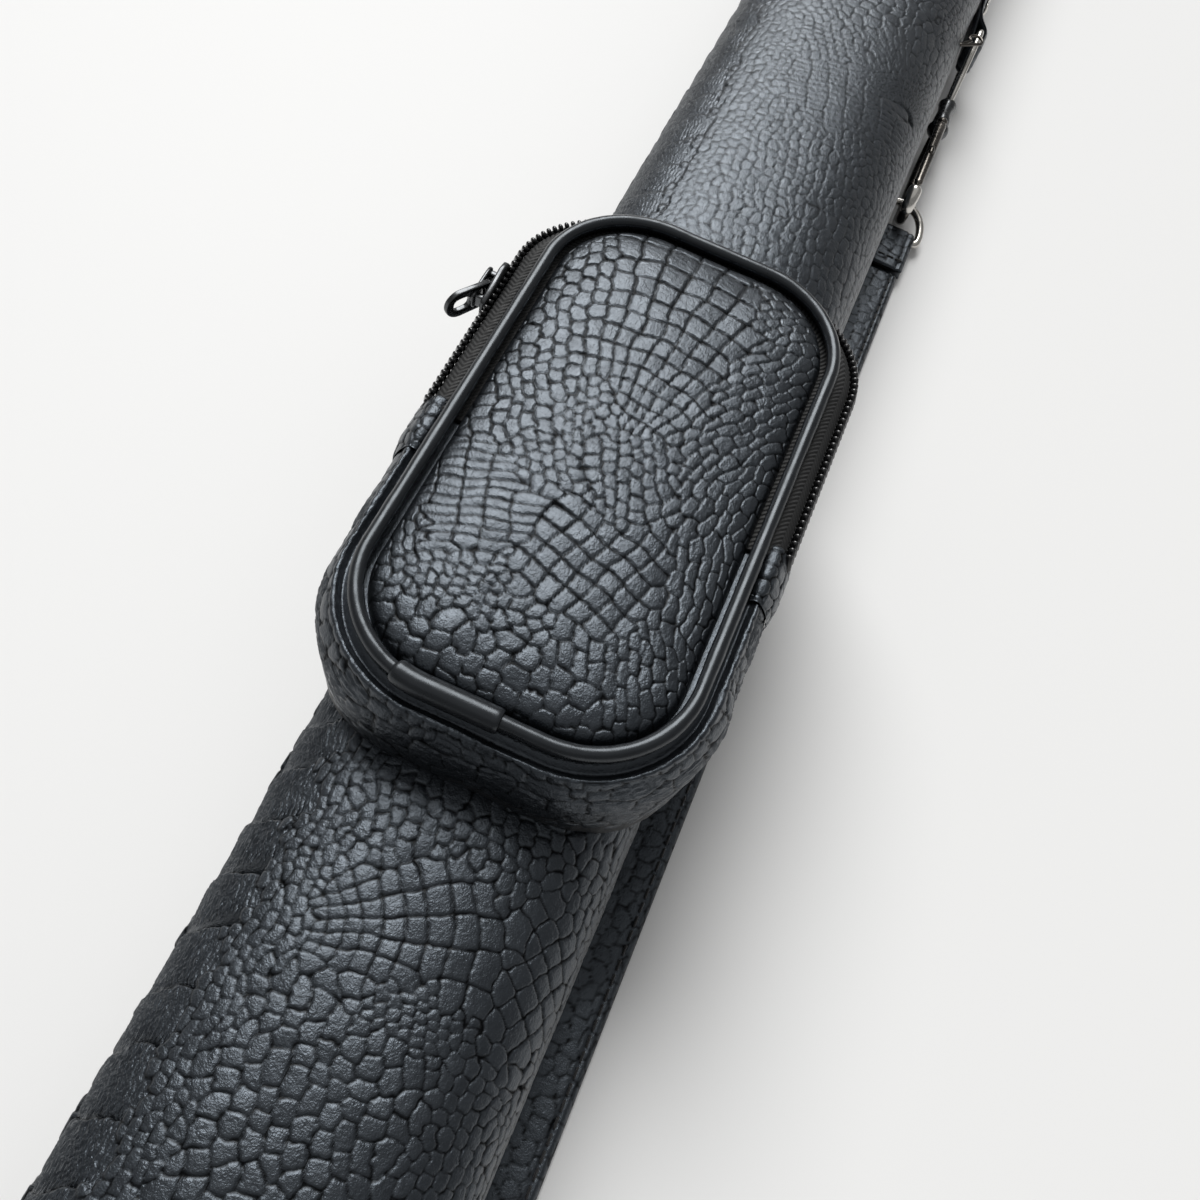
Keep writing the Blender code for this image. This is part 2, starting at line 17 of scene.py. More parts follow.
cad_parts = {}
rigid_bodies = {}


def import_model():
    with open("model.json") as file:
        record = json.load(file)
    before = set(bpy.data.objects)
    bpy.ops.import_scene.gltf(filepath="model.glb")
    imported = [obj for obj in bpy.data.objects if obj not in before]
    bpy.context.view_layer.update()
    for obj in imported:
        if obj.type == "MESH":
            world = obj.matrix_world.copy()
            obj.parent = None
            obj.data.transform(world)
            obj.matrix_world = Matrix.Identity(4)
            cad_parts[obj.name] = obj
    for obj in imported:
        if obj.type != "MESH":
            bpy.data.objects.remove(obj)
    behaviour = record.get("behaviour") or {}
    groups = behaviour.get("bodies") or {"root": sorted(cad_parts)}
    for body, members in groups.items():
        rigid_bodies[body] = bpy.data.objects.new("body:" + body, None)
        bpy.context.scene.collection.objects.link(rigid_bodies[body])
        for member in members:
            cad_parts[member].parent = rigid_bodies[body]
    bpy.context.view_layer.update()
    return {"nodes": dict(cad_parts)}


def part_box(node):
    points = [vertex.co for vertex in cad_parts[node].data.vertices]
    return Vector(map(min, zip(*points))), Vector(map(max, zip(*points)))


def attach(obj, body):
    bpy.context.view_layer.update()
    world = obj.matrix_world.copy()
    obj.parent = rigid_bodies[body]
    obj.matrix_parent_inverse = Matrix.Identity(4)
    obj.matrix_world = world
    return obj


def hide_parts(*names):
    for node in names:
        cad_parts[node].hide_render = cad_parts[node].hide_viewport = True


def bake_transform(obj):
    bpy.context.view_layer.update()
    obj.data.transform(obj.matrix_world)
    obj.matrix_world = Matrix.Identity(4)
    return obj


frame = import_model()

MM = 0.001


def span(node):
    """The low and high corners of a CAD node's box."""
    low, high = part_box(node)
    return np.array(low), np.array(high)


# ---- places taken from the frame --------------------------------------------------------------

HALF_WIDTH = float(span("tube_cover")[1][1])
HALF_DEPTH = float(span("tube_cover")[1][2]) / 2
SECTION_POWER = 2.5
COVER = 0.0011

flap_low, flap_high = span("piping_flap")
lower_low, lower_high = span("piping_lower_left")
PIPING_R = float(flap_high[2] - flap_low[2]) / 2
PIPING_Z = float(flap_high[2] + flap_low[2]) / 2
POUCH_X = float(flap_high[0] + lower_low[0]) / 2
HALF_LENGTH = float(flap_high[0] - lower_low[0]) / 2 - PIPING_R
HALF_SPAN = float(flap_high[1] - flap_low[1]) / 2 - PIPING_R
CORNER = 0.0237
HINGE_X = float(flap_low[0] + lower_high[0]) / 2
SLEEVE_Y = (float(span("piping_sleeve")[0][1]), float(span("piping_sleeve")[1][1]))


# ---- meshes -----------------------------------------------------------------------------------


def mesh_object(name, points, quads, caps=(), sharp=None, **layers):
    """A closed mesh from points, an array of quads and a few larger faces, turned to face outwards."""
    points = np.asarray(points, float).reshape(-1, 3)
    quads = np.asarray(quads, np.int32).reshape(-1, 4)
    middle = points.mean(0)
    a, b, c, d = (points[quads[:, k]] - middle for k in range(4))
    volume = (np.cross(a, b) * c).sum() + (np.cross(a, c) * d).sum()
    if volume < 0:
        quads = quads[:, ::-1]
    sizes = [4] * len(quads) + [len(cap) for cap in caps]
    corners = np.concatenate([quads.reshape(-1)] + [np.asarray(cap, np.int32) for cap in caps])
    mesh = bpy.data.meshes.new(name)
    mesh.vertices.add(len(points))
    mesh.vertices.foreach_set("co", points.astype(np.float32).reshape(-1))
    mesh.loops.add(len(corners))
    mesh.loops.foreach_set("vertex_index", corners.astype(np.int32))
    mesh.polygons.add(len(sizes))
    mesh.polygons.foreach_set("loop_start", (np.cumsum(sizes) - sizes).astype(np.int32))
    mesh.update(calc_edges=True)
    mesh.validate()
    if caps:
        shape = bmesh.new()
        shape.from_mesh(mesh)
        bmesh.ops.recalc_face_normals(shape, faces=shape.faces)
        shape.to_mesh(mesh)
        shape.free()
    mesh.shade_smooth()
    if sharp:
        mesh.set_sharp_from_angle(angle=math.radians(sharp))
    for layer, values in layers.items():
        attribute = mesh.attributes.new(layer, "FLOAT", "POINT")
        attribute.data.foreach_set("value", np.asarray(values, np.float32).reshape(-1))
    made = bpy.data.objects.new(name, mesh)
    bpy.context.scene.collection.objects.link(made)
    return made


def grid_quads(rows, cols, wrap_rows=False, wrap_cols=False):
    """Quads over a grid of points, closing on itself along its rows or its columns where asked."""
    r = np.arange(rows if wrap_rows else rows - 1)[:, None]
    c = np.arange(cols if wrap_cols else cols - 1)[None, :]
    right, down = (c + 1) % cols, (r + 1) % rows
    return np.stack([r * cols + c, r * cols + right, down * cols + right, down * cols + c], -1).reshape(-1, 4)


def grid_rim(rows, cols):
    """Indices of a grid's edge points, in order round it."""
    return [*range(cols), *range(2 * cols - 1, rows * cols, cols),
            *range(rows * cols - 2, (rows - 1) * cols - 1, -1), *range((rows - 2) * cols, 0, -cols)]


def unit(vectors):
    vectors = np.asarray(vectors, float)
    return vectors / np.linalg.norm(vectors, axis=-1, keepdims=True)


def run_along(points):
    """The distance run along a line at each of its points."""
    return np.concatenate([[0], np.cumsum(np.linalg.norm(np.diff(points, axis=0), axis=1))])


def profile_normals(curve):
    """Unit normals of a profile in its own plane, to its left."""
    slope = unit(np.gradient(curve, axis=0))
    return np.stack([-slope[:, 1], slope[:, 0]], -1)


def then_zeros(values, count):
    """A row of values for each ring, with zeros added for its plain points."""
    values = np.asarray(values)
    return np.concatenate([values, np.zeros((len(values), count))], axis=1)


def lofted(name, rings, closed=False, **options):
    """A skin over rings of equal length, capped at both ends unless it closes on itself."""
    rings = np.asarray(rings, float)
    rows, cols = rings.shape[:2]
    caps = () if closed else (list(range(cols)), list(range((rows - 1) * cols, rows * cols)))
    return mesh_object(name, rings, grid_quads(rows, cols, closed, True), caps, **options)


def joined(name, parts, **options):
    """Many small copies in one mesh. Each part is (points, quads)."""
    points, quads, base = [], [], 0
    for part_points, part_quads in parts:
        points.append(part_points)
        quads.append(np.asarray(part_quads) + base)
        base += len(part_points)
    return mesh_object(name, np.concatenate(points), np.concatenate(quads), **options)


def capsule(length, radius, sides=8, flat=1.0):
    """A round-ended bar along its own first axis, as points and quads. Its tips close on a tiny ring."""
    turns = np.arange(sides) * math.tau / sides
    ends = np.radians([4, 35, 65, 90])
    half = length / 2 - radius
    along = np.concatenate([-half - radius * np.cos(ends), half + radius * np.cos(ends[::-1])])
    wide = radius * np.concatenate([np.sin(ends), np.sin(ends[::-1])])
    points = np.stack([np.repeat(along, sides), np.outer(wide, np.cos(turns)).reshape(-1),
                       flat * np.outer(wide, np.sin(turns)).reshape(-1)], -1)
    return points, grid_quads(len(along), sides, False, True)


def placed(part, origin, along, across):
    """A part's points turned so that its first axis runs along and its third is normal to along and across."""
    x = unit(along)
    z = unit(np.cross(x, across))
    points, quads = part
    return points @ np.stack([x, np.cross(z, x), z]) + np.asarray(origin), quads


def spline(points, count, closed=False):
    """Evenly spaced points on a smooth curve through the given ones."""
    points = np.asarray(points, float)
    if closed:
        p = np.concatenate([points[-1:], points, points[:2]])
    else:
        p = np.concatenate([2 * points[:1] - points[1:2], points, 2 * points[-1:] - points[-2:-1]])
    t = np.linspace(0, 1, 40, endpoint=False)[:, None]
    runs = []
    for a, b, c, d in zip(p, p[1:], p[2:], p[3:]):
        runs.append(b + 0.5 * t * ((c - a) + t * ((2 * a - 5 * b + 4 * c - d) + t * (3 * (b - c) + d - a))))
    fine = np.concatenate(runs + [p[-2:-1]])
    far = run_along(fine)
    wanted = np.linspace(0, far[-1], count, endpoint=not closed)
    return np.stack([np.interp(wanted, far, fine[:, k]) for k in range(fine.shape[1])], -1)


def rod(name, points, radius, sides=20, closed=False, squash=1.0):
    """A round bar along points, with radius one number or one for each point, and rounded ends."""
    points = np.asarray(points, float)
    radius = np.broadcast_to(np.asarray(radius, float), len(points)).copy()
    if not closed:
        steps = np.array([1.0, 0.8, 0.45]) * radius[0], np.array([0.45, 0.8, 1.0]) * radius[-1]
        first, last = unit(points[0] - points[1]), unit(points[-1] - points[-2])
        points = np.concatenate([points[0] + np.outer(steps[0], first), points,
                                 points[-1] + np.outer(steps[1], last)])
        taper = np.array([0.15, 0.6, 0.88])
        radius = np.concatenate([taper * radius[0], radius, taper[::-1] * radius[-1]])
    ahead = np.roll(points, -1, 0) - np.roll(points, 1, 0)
    if not closed:
        ahead[0], ahead[-1] = points[1] - points[0], points[-1] - points[-2]
    ahead = unit(ahead)
    spread = points - points.mean(0)
    normal = np.linalg.svd(spread, full_matrices=False)[2][-1] if len(points) > 2 else np.array([0, 0, 1.0])
    if np.linalg.norm(np.cross(normal, ahead[0])) < 0.2:
        normal = np.cross(ahead[0], [0.3, 0.5, 0.8])
    turns = np.arange(sides) * math.tau / sides
    rings = []
    for p, a, r in zip(points, ahead, radius):
        side = unit(np.cross(a, normal))
        up = np.cross(side, a)
        rings.append(p + r * (np.outer(np.cos(turns), side) + squash * np.outer(np.sin(turns), up)))
    return lofted(name, rings, closed)


def graded(stops):
    """Positions from the first stop to the last. Each stretch is divided at its first stop's own spacing."""
    runs = [np.linspace(a, b, max(2, round((b - a) / step) + 1))[:-1]
            for (a, step), (b, _) in zip(stops, stops[1:])]
    return np.append(np.concatenate(runs), stops[-1][0])


# ---- the case's oval section ------------------------------------------------------------------


def section_table(steps=8000):
    turn = np.linspace(-math.pi, math.pi, steps + 1)
    power = 2 / SECTION_POWER
    y = HALF_WIDTH * np.sign(np.sin(turn)) * np.abs(np.sin(turn)) ** power
    z = HALF_DEPTH * np.sign(np.cos(turn)) * np.abs(np.cos(turn)) ** power
    far = np.concatenate([[0], np.cumsum(np.hypot(np.diff(y), np.diff(z)))])
    return far - far[-1] / 2, y, z


TABLE_V, TABLE_Y, TABLE_Z = section_table()
HALF_ROUND = float(TABLE_V[-1])


def section(v):
    """Points (y, z) of the case's section at distances v round it, with their outward normals."""
    y, z = np.interp(v, TABLE_V, TABLE_Y), np.interp(v, TABLE_V, TABLE_Z)
    power = SECTION_POWER - 1
    ny = np.sign(y) * np.abs(y / HALF_WIDTH) ** power / HALF_WIDTH
    nz = np.sign(z) * np.abs(z / HALF_DEPTH) ** power / HALF_DEPTH
    size = np.hypot(ny, nz)
    return y, HALF_DEPTH + z, ny / size, nz / size


def around_case(x, v, inset):
    """A grid of points at each x and v, inset below the case's outer face. inset may vary over the grid."""
    y, z, ny, nz = section(v)
    inset = np.broadcast_to(inset, (len(x), len(v)))
    return np.stack([np.broadcast_to(x[:, None], inset.shape), y - inset * ny, z - inset * nz], -1)


# ---- the embossed hide ------------------------------------------------------------------------

Patch = namedtuple("Patch", "u v reach_u reach_v along across turn jitter kind apex", defaults=("scale", None))


def waves(u, v, length, count, rng):
    """Smooth random field of about unit size, from waves near the given length in millimetres."""
    total = np.zeros(np.broadcast(u, v).shape, np.float32)
    for _ in range(count):
        turn, size = rng.uniform(0, math.tau), rng.uniform(0.6, 1.5)
        k = math.tau / (length * size)
        total += np.sin(k * (u * math.cos(turn) + v * math.sin(turn)) + rng.uniform(0, math.tau))
    return total * math.sqrt(2 / count)


def owner(u, v, patches):
    """The patch that each point belongs to: the nearest, counted in the patch's own reaches."""
    wobble_u = 1.6 * np.sin(v / 3.1 + u / 7.3) + 0.8 * np.sin(v / 1.3 + 2.0)
    wobble_v = 1.6 * np.sin(u / 2.9 - v / 6.1) + 0.8 * np.sin(u / 1.2 + 1.0)
    far = [((u + wobble_u - p.u) / p.reach_u) ** 2 + ((v + wobble_v - p.v) / p.reach_v) ** 2 for p in patches]
    return np.argmin(far, axis=0)


def lattice(patch, area, rng):
    """Rows (u, v, along, across, turn) of a patch's scales before it is trimmed to what it owns."""
    turn = math.radians(patch.turn)
    c, s = math.cos(turn), math.sin(turn)
    if patch.kind == "shingle":
        u = np.arange(area[0] - 6, area[1] + 6, patch.along) + patch.jitter * patch.along * rng.random()
        size = 1 + patch.jitter * (rng.random(len(u)) - 0.5)
        v = patch.v + 2.0 * np.sin(u / 26)
        return np.stack([u, v, patch.along * size, patch.across * size, turn + 0 * u], -1)
    wide_u = min(2.2 * patch.reach_u, area[1] - area[0])
    wide_v = min(2.2 * patch.reach_v, area[3] - area[2])
    if patch.apex:
        gap_u, gap_v = patch.u - patch.apex[0], patch.v - patch.apex[1]
        far, towards = math.hypot(gap_u, gap_v), math.atan2(gap_v, gap_u)
        ring, ray = np.meshgrid(np.arange(-30, 31), np.arange(-30, 31), indexing="ij")
        ray = ray + patch.jitter * (rng.random(ray.shape) - 0.5)
        ring = ring + 0.5 * (np.round(ray) % 2) * (patch.kind != "grid")
        ring = ring + patch.jitter * (rng.random(ray.shape) - 0.5)
        root = 1 + ring * patch.along / (2 * far)
        grow = root**2
        angle = towards + ray * patch.across / far
        keep = (np.abs(ray * patch.across / far) < 1.4) & (root < 1.6) & (root > 0.55)
        u, v = patch.apex[0] + far * grow * np.cos(angle), patch.apex[1] + far * grow * np.sin(angle)
        rows = np.stack([u, v, patch.along * root, patch.across * grow, angle], -1)
        return rows[keep]
    n_p = math.ceil((wide_u * abs(c) + wide_v * abs(s)) / patch.along)
    n_q = math.ceil((wide_u * abs(s) + wide_v * abs(c)) / patch.across)
    i, j = np.meshgrid(np.arange(-n_p, n_p + 1), np.arange(-n_q, n_q + 1), indexing="ij")
    stagger = 0.0 if patch.kind == "grid" else 0.5
    p = (i + stagger * (j % 2) + patch.jitter * (rng.random(i.shape) - 0.5)) * patch.along
    q = (j + patch.jitter * (rng.random(i.shape) - 0.5)) * patch.across
    u, v = patch.u + p * c - q * s, patch.v + p * s + q * c
    size = 1 + 0.35 * patch.jitter * (rng.random(i.shape) - 0.5)
    angle = turn + 0.7 * patch.jitter * (rng.random(i.shape) - 0.5)
    return np.stack([u, v, patch.along * size, patch.across / size, angle], -1).reshape(-1, 5)


def uncrowded(rows):
    """False where a scale would lie nearly on top of an earlier one."""
    size = np.minimum(rows[:, 2], rows[:, 3])
    keep = np.ones(len(rows), bool)
    for k in np.flatnonzero(keep):
        if keep[k]:
            far = np.hypot(rows[k + 1:, 0] - rows[k, 0], rows[k + 1:, 1] - rows[k, 1])
            keep[k + 1:] &= far > 0.32 * (size[k + 1:] + size[k])
    return keep


def clear_under(rows, kinds):
    """Drops the small scales that lie under a large shingle."""
    keep = np.ones(len(rows), bool)
    for su, sv, along, across, turn in rows[kinds == "shingle"]:
        du, dv = rows[:, 0] - su, rows[:, 1] - sv
        p = (du * math.cos(turn) + dv * math.sin(turn)) / along
        q = (dv * math.cos(turn) - du * math.sin(turn)) / across
        keep &= (np.hypot(p, q) > 0.56) | (kinds == "shingle")
    return rows[keep], kinds[keep]


def blended(values, i, j, a, b):
    """Grid values at (i + a, j + b), where a and b go from 0 to 1."""
    this_row = values[i, j] * (1 - b) + values[i, j + 1] * b
    next_row = values[i + 1, j] * (1 - b) + values[i + 1, j + 1] * b
    return this_row * (1 - a) + next_row * a


class Hide:
    """A stretch of embossed leatherette: how deep each point lies below the scales' tops."""

    def __init__(self, area, patches, seed, step=0.25, depth=1.0, groove=1.0):
        rng = np.random.default_rng(seed)
        self.step, self.origin = step, (area[0], area[2])
        u = np.arange(area[0], area[1] + step, step, dtype=np.float32)[:, None]
        v = np.arange(area[2], area[3] + step, step, dtype=np.float32)[None, :]
        rows, kinds = [], []
        for number, patch in enumerate(patches):
            found = lattice(patch, area, rng)
            inside = (found[:, 0] > area[0] - 8) & (found[:, 0] < area[1] + 8)
            inside &= (found[:, 1] > area[2] - 8) & (found[:, 1] < area[3] + 8)
            found = found[inside]
            if patch.kind != "shingle":
                found = found[owner(found[:, 0], found[:, 1], patches) == number]
            rows.append(found)
            kinds += [patch.kind] * len(found)
        rows, kinds = clear_under(np.concatenate(rows), np.array(kinds))
        apart = uncrowded(rows)
        rows, kinds = rows[apart], kinds[apart]
        square = np.select([kinds == "shingle", kinds == "grid"], [4.5, 3.4], 2.7)
        shape = (u.shape[0], v.shape[1])
        bend_u = 0.13 * waves(u, v, 2.4, 10, rng) + 0.45 * waves(u, v, 16, 6, rng)
        bend_v = 0.13 * waves(u, v, 2.4, 10, rng) + 0.45 * waves(u, v, 16, 6, rng)
        bend = np.where(kinds == "grid", 0.6, 1.0)
        near, next_near = np.full(shape, 9.0, np.float32), np.full(shape, 9.0, np.float32)
        slope, which = np.ones(shape, np.float32), np.zeros(shape, np.int32)
        place_p, place_q = np.zeros(shape, np.float32), np.zeros(shape, np.float32)
        for k, (su, sv, along, across, turn) in enumerate(rows):
            reach = 2.3 * max(along, across)
            i0, i1 = (int((su + way * reach - area[0]) / step) for way in (-1, 1))
            j0, j1 = (int((sv + way * reach - area[2]) / step) for way in (-1, 1))
            part = (slice(max(i0, 0), max(i1, 0)), slice(max(j0, 0), max(j1, 0)))
            du = u[part[0]] - su + bend[k] * bend_u[part]
            dv = v[:, part[1]] - sv + bend[k] * bend_v[part]
            c, s = math.cos(turn), math.sin(turn)
            p, q = (du * c + dv * s) / along, (dv * c - du * s) / across
            power = square[k]
            p_side, q_side = np.abs(p) + 1e-5, np.abs(q) + 1e-5
            far = (p_side**power + q_side**power) ** (1 / power)
            steep = np.hypot((p_side / far) ** (power - 1) / along, (q_side / far) ** (power - 1) / across)
            first, second = near[part], next_near[part]
            closer = far < first
            next_near[part] = np.where(closer, first, np.minimum(second, far))
            first[closer] = far[closer]
            slope[part][closer] = steep[closer]
            which[part][closer] = k
            place_p[part][closer] = p[closer]
            place_q[part][closer] = q[closer]
        along, across = rows[:, 2].astype(np.float32)[which], rows[:, 3].astype(np.float32)[which]
        small = np.minimum(along, across)
        edge = (next_near - near) / (2 * slope)
        width = groove * np.clip(0.18 + 0.045 * small, 0.28, 0.44)
        rise = np.clip(edge / width, 0, 1)
        rise = rise * rise * (3 - 2 * rise)
        deep = depth * np.clip(0.12 + 0.055 * small, 0.18, 0.46)
        tilt = rng.uniform(-1, 1, (2, len(rows))).astype(np.float32)
        low = deep * (1 - rise) + 0.75 * deep * np.clip(near, 0, 0.8) ** 2
        low += 0.65 * deep * (place_p * tilt[0][which] + place_q * tilt[1][which])
        shingle = (kinds == "shingle")[which]
        low += np.where(shingle, deep * (0.75 - 1.5 * np.clip(place_p, -0.5, 0.5)), 0)
        lined = np.isin(kinds, ("shingle", "lined"))[which]
        lines = 0.5 + 0.5 * np.sin(math.tau * place_q * across / 0.95 + 0.5 * waves(u, v, 7, 5, rng))
        low += np.where(lined, 0.95 * deep * lines * rise, 0)
        low += 0.012 * waves(u, v, 1.3, 12, rng) + 0.03 * waves(u, v, 14, 6, rng)
        self.low = (low - low.min()) * MM
        # The groove share also sets painted shade: the leather's colour darkens to near black where it is high.
        self.groove = 1 - rise
        self.tone = rng.random(len(rows)).astype(np.float32)[which]

    def sample(self, u, v):
        """Depth in metres, share of groove and the scale's own tone, at points in metres."""
        i = np.clip((u / MM - self.origin[0]) / self.step, 0, self.low.shape[0] - 1.001)
        j = np.clip((v / MM - self.origin[1]) / self.step, 0, self.low.shape[1] - 1.001)
        i0, j0 = np.floor(i).astype(int), np.floor(j).astype(int)
        a, b = i - i0, j - j0

        return blended(self.low, i0, j0, a, b), blended(self.groove, i0, j0, a, b), self.tone[i0, j0]


ROLL = 392  # the embossing repeats along the case

FRONT_PATCHES = [
    Patch(-105, -5, 13, 18, 4.4, 4.7, 0, 0.07, "grid", (-117, 25)),
    Patch(-119, -13, 6, 13, 2.3, 2.5, 20, 0.30),
    Patch(-103, -34, 15, 10, 4.4, 4.4, -35, 0.10, "grid"),
    Patch(-87, 8, 9, 12, 3.8, 3.2, 14, 0.25),
    Patch(-106, 20, 12, 6, 3.4, 2.5, 10, 0.22),
    Patch(-83, -18, 7, 14, 3.8, 3.2, 20, 0.25),
    Patch(-84, -36, 8, 9, 4.2, 3.0, 0, 0.20),
    Patch(-138, 2, 16, 18, 4.3, 3.9, 10, 0.30),
    Patch(-168, -8, 14, 24, 4.8, 4.4, 0, 0.28),
    Patch(-128, -28, 10, 9, 3.2, 3.0, -12, 0.25),
    Patch(-146, -34, 16, 10, 3.8, 2.6, -8, 0.22),
    Patch(0, 0, 60, 30, 6.0, 5.0, 0, 0.30),
    Patch(95, 2, 20, 16, 4.0, 3.2, 10, 0.22),
    Patch(104, -20, 24, 14, 5.2, 3.3, 6, 0.18),
    Patch(130, -5, 18, 16, 3.6, 3.0, 8, 0.18),
    Patch(137, -27, 20, 9, 4.4, 2.6, 6, 0.18),
    Patch(148, 8, 14, 9, 3.0, 2.6, 0, 0.30),
    Patch(174, -7, 13, 17, 2.3, 6.0, 14, 0.06, "grid"),
    Patch(158, -24, 10, 10, 3.2, 2.6, 24, 0.20),
    Patch(197, 2, 9, 12, 2.6, 3.0, 28, 0.20),
    Patch(182, 15, 16, 7, 2.8, 2.4, 0, 0.30),
    Patch(212, -22, 22, 16, 7.0, 2.3, 0, 0.10, "scale", (184, -30)),
    Patch(216, 10, 12, 12, 3.4, 2.8, 40, 0.22),
]
FLANK_PATCHES = [
    Patch(0, 24, 400, 8, 3.4, 2.5, 0, 0.22),
    Patch(0, 35.5, 400, 9, 12.0, 20.0, 14, 0.10, "shingle"),
    Patch(0, 54, 400, 8, 4.6, 3.8, 0, 0.22),
    Patch(0, 70, 400, 12, 6.2, 5.4, 0, 0.22),
    Patch(0, 92, 400, 12, 10.0, 8.5, 0, 0.10, "grid"),
    Patch(0, -48, 400, 8, 3.2, 2.6, 0, 0.25),
    Patch(0, -62, 400, 9, 12.5, 19.0, -8, 0.10, "shingle"),
    Patch(0, -78, 400, 7, 6.2, 5.4, 0, 0.22),
    Patch(0, -93, 400, 10, 10.0, 8.5, 0, 0.10, "grid"),
]
PANEL_PATCHES = [
    Patch(40, 1, 32, 17, 5.8, 5.0, 0, 0.08, "grid", (-20, 3)),
    Patch(36, 27, 22, 9, 4.6, 3.8, 14, 0.22),
    Patch(8, 25, 12, 10, 4.0, 3.2, 22, 0.18),
    Patch(4, 11, 10, 7, 3.6, 2.4, 18, 0.18),
    Patch(-12, 12, 7, 7, 3.2, 2.8, 30, 0.30),
    Patch(-28, 22, 12, 12, 2.4, 5.6, 16, 0.05, "grid"),
    Patch(-8, -4, 12, 9, 3.8, 2.8, 24, 0.12),
    Patch(-32, -7, 14, 13, 4.5, 4.2, -18, 0.07, "grid"),
    Patch(24, -22, 18, 9, 5.2, 2.7, -34, 0.18),
    Patch(0, -23, 12, 8, 5.2, 2.5, -12, 0.18),
    Patch(-19, -27, 12, 6, 6.0, 2.4, 8, 0.18),
    Patch(58, -22, 10, 9, 4.0, 2.8, -48, 0.22),
    Patch(-46, 16, 8, 10, 2.5, 2.6, 0, 0.30),
    Patch(-41, 32, 9, 6, 3.4, 3.0, 20, 0.30),
    Patch(-60, 6, 9, 20, 4.4, 4.2, 0, 0.28),
    Patch(-48, 2, 6, 6, 3.0, 3.2, 20, 0.28),
    Patch(-47, -22, 10, 10, 5.0, 2.5, 24, 0.20),
]


def rolled(patches, low, high):
    """The patches with their repeats along the case."""
    copies = []
    for turn in (-1, 0, 1):
        for p in patches:
            apex = p.apex and (p.apex[0] + turn * ROLL, p.apex[1])
            copies.append(p._replace(u=p.u + turn * ROLL, apex=apex))
    return [p for p in copies if low - 25 < p.u < high + 25]


def case_hide(x0, x1, seed, step):
    """The embossing of the tube or the lid, pressed more lightly from the pouch's far end on."""
    low, high = ((x - POUCH_X) / MM for x in (x0, x1))
    patches = rolled(FRONT_PATCHES, low, high)
    patches += [p._replace(u=(low + high) / 2) for p in FLANK_PATCHES]
    edge = HALF_ROUND / MM
    hide = Hide((low, high, -edge, edge), patches, seed, step)
    far = np.interp(low + step * np.arange(hide.low.shape[0]), [60, 95], [1, 0.62])[:, None]
    hide.low *= far
    hide.groove *= 0.4 + 0.6 * far
    return hide


# ---- materials --------------------------------------------------------------------------------


class Look:
    """A Principled material being wired up."""

    def __init__(self, name, colour, roughness, metallic=0.0, **sockets):
        self.material = bpy.data.materials.new(name)
        self.material.use_nodes = True
        self.tree = self.material.node_tree
        self.shader = self.tree.nodes["Principled BSDF"]
        self.shader.inputs["Base Color"].default_value = (*colour, 1)
        self.shader.inputs["Roughness"].default_value = roughness
        self.shader.inputs["Metallic"].default_value = metallic
        for socket, value in sockets.items():
            self.shader.inputs[socket.replace("_", " ").title()].default_value = value
        self.height = None

    def node(self, kind, **settings):
        made = self.tree.nodes.new(kind)
        for key, value in settings.items():
            if hasattr(made, key):
                setattr(made, key, value)
            else:
                made.inputs[key.replace("_", " ").title()].default_value = value
        return made

    def link(self, source, target):
        self.tree.links.new(source, target)

    def attribute(self, name):
        return self.node("ShaderNodeAttribute", attribute_name=name).outputs["Fac"]

    def place(self):
        return self.node("ShaderNodeTexCoord").outputs["Object"]

    def noise(self, scale, detail=3.0, stretch=None):
        made = self.node("ShaderNodeTexNoise", scale=scale, detail=detail)
        source = self.place()
        if stretch:
            turned = self.node("ShaderNodeMapping")
            turned.inputs["Scale"].default_value = stretch
            self.link(source, turned.inputs["Vector"])
            source = turned.outputs["Vector"]
        self.link(source, made.inputs["Vector"])
        return made.outputs["Fac"]

    def spread(self, source, low, high, start=0.0, end=1.0):
        """A number from low to high as source goes from start to end."""
        made = self.node("ShaderNodeMapRange")
        for socket, value in (("From Min", start), ("From Max", end), ("To Min", low), ("To Max", high)):
            made.inputs[socket].default_value = value
        self.link(source, made.inputs["Value"])
        return made.outputs["Result"]

    def maths(self, operation, a, b):
        made = self.node("ShaderNodeMath", operation=operation)
        for socket, value in zip(made.inputs, (a, b)):
            if isinstance(value, (int, float)):
                socket.default_value = value
            else:
                self.link(value, socket)
        return made.outputs["Value"]

    def cloudy(self, scale, detail, low, high, start=0.3):
        """A number drifting between low and high over the surface."""
        return self.spread(self.noise(scale, detail), low, high, start, 0.7)

    def cells(self, scale):
        made = self.node("ShaderNodeTexVoronoi", scale=scale)
        self.link(self.place(), made.inputs["Vector"])
        return made.outputs["Distance"]

    def mixed(self, share, first, second):
        """A colour between first and second."""
        made = self.node("ShaderNodeMix", data_type="RGBA")
        self.link(share, made.inputs["Factor"])
        for socket, value in ((made.inputs[6], first), (made.inputs[7], second)):
            if isinstance(value, tuple):
                socket.default_value = (*value, 1)
            else:
                self.link(value, socket)
        return made.outputs[2]

    def colour(self, source):
        self.link(source, self.shader.inputs["Base Color"])

    def roughness(self, source):
        self.link(source, self.shader.inputs["Roughness"])

    def bump(self, source, distance, strength=1.0):
        """Adds a bump over those already there."""
        made = self.node("ShaderNodeBump")
        made.inputs["Distance"].default_value = distance
        made.inputs["Strength"].default_value = strength
        self.link(source, made.inputs["Height"])
        if self.height is not None:
            self.link(self.height, made.inputs["Normal"])
        self.height = made.outputs["Normal"]
        self.link(self.height, self.shader.inputs["Normal"])


